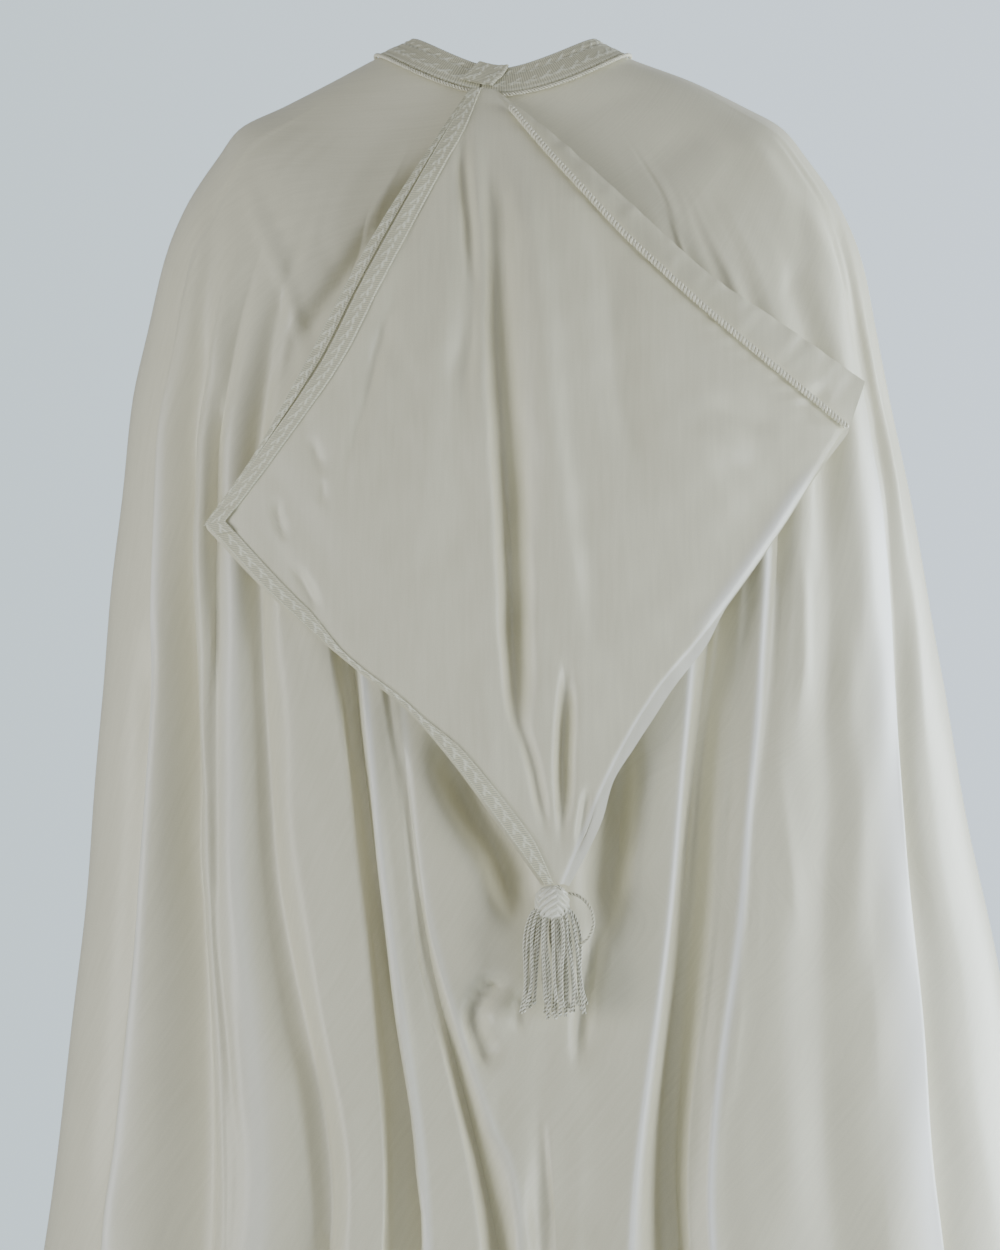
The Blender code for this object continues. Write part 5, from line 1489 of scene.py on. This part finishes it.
def round_body(grid, flat):
    """Faces of a grid that closes on itself sideways, with a fan at its top and its foot."""
    rows, columns = grid.shape[0], grid.shape[1] - 1
    points = grid[:, :-1].reshape(-1, 3)
    index = np.arange(rows * columns).reshape(rows, columns)
    ahead = np.roll(index, -1, axis=1)
    quads = np.stack([index[:-1], index[1:], ahead[1:], ahead[:-1]], -1).reshape(-1, 4)
    top = np.stack([index[0], ahead[0], np.full(columns, rows * columns)], -1)
    foot = np.stack([ahead[-1], index[-1], np.full(columns, rows * columns + 1)], -1)
    ends = np.stack([grid[0, :-1].mean(0), grid[-1, :-1].mean(0)])
    coords = flat[:, :-1].reshape(-1, 2)
    coords = np.concatenate([coords, coords[:1], coords[-1:]])
    return np.concatenate([points, ends]), [quads, top, foot], coords


def joined_arrays(parts):
    """Points, faces and flat coordinates of several bodies in one."""
    points, faces, flats, count = [], [], [], 0
    for body_points, body_faces, body_flat in parts:
        points.append(body_points)
        faces.extend(group + count for group in body_faces)
        flats.append(body_flat)
        count += len(body_points)
    return np.concatenate(points), faces, np.concatenate(flats)


class BURNOUS_OT_tassel(bpy.types.Operator):
    """Make the tassel: its knotted head, the small ring above it and its twisted strands"""
    bl_idname = "burnous.tassel"
    bl_label = "Tassel"

    def execute(self, context):
        trims = context.scene.burnous_trims
        colours = context.scene.burnous_colours
        lines, rays = strand_lines(120)
        strands = plied(lines, rays, 2.0 * TASSEL_STRAND_RADIUS, trims.strand_pitch, STRAND_SIDES, ends=0.5)
        head = round_body(*head_grid(64, 150))
        turn = np.linspace(0.0, 2.0 * math.pi, 48)
        ring = np.stack([TASSEL_TOP[0] + EYELET_ASIDE + EYELET_RADIUS * np.cos(turn),
                         np.full(len(turn), TASSEL_TOP[1] - EYELET_BEHIND),
                         TASSEL_TOP[2] - EYELET_RADIUS + EYELET_RADIUS * np.sin(turn)], -1)
        beside = np.repeat(BEHIND[None], len(turn), axis=0)
        eyelet = plied(ring[None], beside[None], EYELET_CORD, EYELET_PITCH, STRAND_SIDES)
        points, faces, flat = joined_arrays([strands, head, eyelet])
        piece = put_mesh("silk_tassel", points, faces, flat, finish(colours, "tassel silk"))
        settle(piece, "tassel_silk", "tassel")
        return {"FINISHED"}


class BURNOUS_OT_camera(bpy.types.Operator):
    """Place the camera level behind the cloak"""
    bl_idname = "burnous.camera"
    bl_label = "Camera"

    def execute(self, context):
        stage = context.scene.burnous_stage
        data = bpy.data.cameras.new("back_camera")
        data.sensor_fit = "AUTO"
        data.sensor_width = 36.0
        data.lens = data.sensor_width * stage.camera_distance / stage.picture_height
        data.clip_end = 50.0
        camera = bpy.data.objects.new("back_camera", data)
        camera.location = (0.0, -stage.camera_distance, stage.camera_height)
        camera.rotation_euler = (math.pi / 2.0, 0.0, 0.0)
        context.scene.collection.objects.link(camera)
        context.scene.camera = camera
        return {"FINISHED"}


def area_light(scene, spec, power):
    """A square soft light at a place, turned towards a point."""
    data = bpy.data.lights.new(spec.name, "AREA")
    data.shape = "SQUARE"
    data.size = spec.size
    data.energy = power
    data.color = spec.colour
    light = bpy.data.objects.new(spec.name, data)
    off = np.array(spec.aim) - np.array(spec.place)
    light.location = spec.place
    light.rotation_euler = (math.acos(-off[2] / np.linalg.norm(off)), 0.0, math.atan2(-off[0], off[1]))
    scene.collection.objects.link(light)


def studio_world(stage, colours):
    """Even light from all round, and a backdrop for the camera alone that changes from left to right."""
    world = bpy.data.worlds.new("studio")
    world.use_nodes = True
    tree = world.node_tree
    tree.nodes.clear()
    place = add_node(tree, "ShaderNodeTexCoord")
    split = add_node(tree, "ShaderNodeSeparateXYZ")
    tree.links.new(place.outputs["Generated"], split.inputs["Vector"])
    across = add_node(tree, "ShaderNodeMapRange")
    across.inputs["From Min"].default_value = -SKY_TURN
    across.inputs["From Max"].default_value = SKY_TURN
    tree.links.new(split.outputs["X"], across.inputs["Value"])
    ends = [(0.0, tuple(colours.sky_left)), (1.0, tuple(colours.sky_right))]
    shown = ramp(tree, across.outputs["Result"], ends)
    lit = add_node(tree, "ShaderNodeBackground", Color=SKY_LIGHT, Strength=stage.sky_strength)
    plain = add_node(tree, "ShaderNodeBackground", Strength=stage.backdrop_strength)
    tree.links.new(shown, plain.inputs["Color"])
    seen = add_node(tree, "ShaderNodeLightPath")
    choose = add_node(tree, "ShaderNodeMixShader")
    out = add_node(tree, "ShaderNodeOutputWorld")
    tree.links.new(seen.outputs["Is Camera Ray"], choose.inputs["Fac"])
    tree.links.new(lit.outputs["Background"], choose.inputs[1])
    tree.links.new(plain.outputs["Background"], choose.inputs[2])
    tree.links.new(choose.outputs["Shader"], out.inputs["Surface"])
    return world


def floor_disc(level):
    """A flat round slab: rings of points out to its edge, and the same rings back under it."""
    ring = np.linspace(0.0, FLOOR_RADIUS, 12)[1:, None]
    turn = np.linspace(0.0, 2.0 * math.pi, 97)[None, :]
    x = ring * np.cos(turn)
    top = np.stack([x, ring * np.sin(turn), np.full(x.shape, level)], -1)
    below = top - np.array([0.0, 0.0, FLOOR_THICKNESS])
    both = np.concatenate([below, top[::-1]])
    return round_body(both, both[..., :2])


class BURNOUS_OT_stage(bpy.types.Operator):
    """Make the pale floor, the even backdrop and the soft lights"""
    bl_idname = "burnous.stage"
    bl_label = "Stage"

    def execute(self, context):
        stage = context.scene.burnous_stage
        colours = context.scene.burnous_colours
        floor = put_mesh("floor", *floor_disc(stage.floor_level), finish(colours, "pale floor"))
        context.scene.world = studio_world(stage, colours)
        for spec in LIGHTS:
            area_light(context.scene, spec, getattr(stage, spec.power))
        return {"FINISHED"}


class BURNOUS_PT_panel(bpy.types.Panel):
    """Lists the pieces of the cloak and the sizes and colours they are made with"""
    bl_idname = "BURNOUS_PT_panel"
    bl_label = "Burnous Cloak"
    bl_space_type = "VIEW_3D"
    bl_region_type = "UI"
    bl_category = "Burnous"

    def draw(self, context):
        layout = self.layout
        for group in (context.scene.burnous_cloth, context.scene.burnous_trims,
                      context.scene.burnous_colours, context.scene.burnous_stage):
            box = layout.box()
            for name in group.__annotations__:
                box.prop(group, name)
        for operator in OPERATORS:
            layout.operator(operator.bl_idname)


SETTINGS = {"burnous_cloth": BurnousClothSettings, "burnous_trims": BurnousTrimSettings,
            "burnous_colours": BurnousColourSettings, "burnous_stage": BurnousStageSettings}
OPERATORS = (BURNOUS_OT_camera, BURNOUS_OT_loop_cord, BURNOUS_OT_cloak, BURNOUS_OT_neck_trims,
             BURNOUS_OT_chest_closure, BURNOUS_OT_hood, BURNOUS_OT_hood_trims, BURNOUS_OT_tassel,
             BURNOUS_OT_stage)


def register():
    """Add the classes and give every scene the settings."""
    for group in SETTINGS.values():
        bpy.utils.register_class(group)
    for name, group in SETTINGS.items():
        setattr(bpy.types.Scene, name, bpy.props.PointerProperty(type=group))
    for operator in OPERATORS:
        bpy.utils.register_class(operator)
    bpy.utils.register_class(BURNOUS_PT_panel)


def unregister():
    """Take the classes and the settings away again."""
    bpy.utils.unregister_class(BURNOUS_PT_panel)
    for operator in reversed(OPERATORS):
        bpy.utils.unregister_class(operator)
    for name, group in SETTINGS.items():
        delattr(bpy.types.Scene, name)
        bpy.utils.unregister_class(group)


def main():
    """Make every piece in order."""
    register()
    bpy.ops.burnous.camera()
    bpy.ops.burnous.loop_cord()
    bpy.ops.burnous.cloak()
    bpy.ops.burnous.neck_trims()
    bpy.ops.burnous.chest_closure()
    bpy.ops.burnous.hood()
    bpy.ops.burnous.hood_trims()
    bpy.ops.burnous.tassel()
    bpy.ops.burnous.stage()


if __name__ == "__main__":
    main()
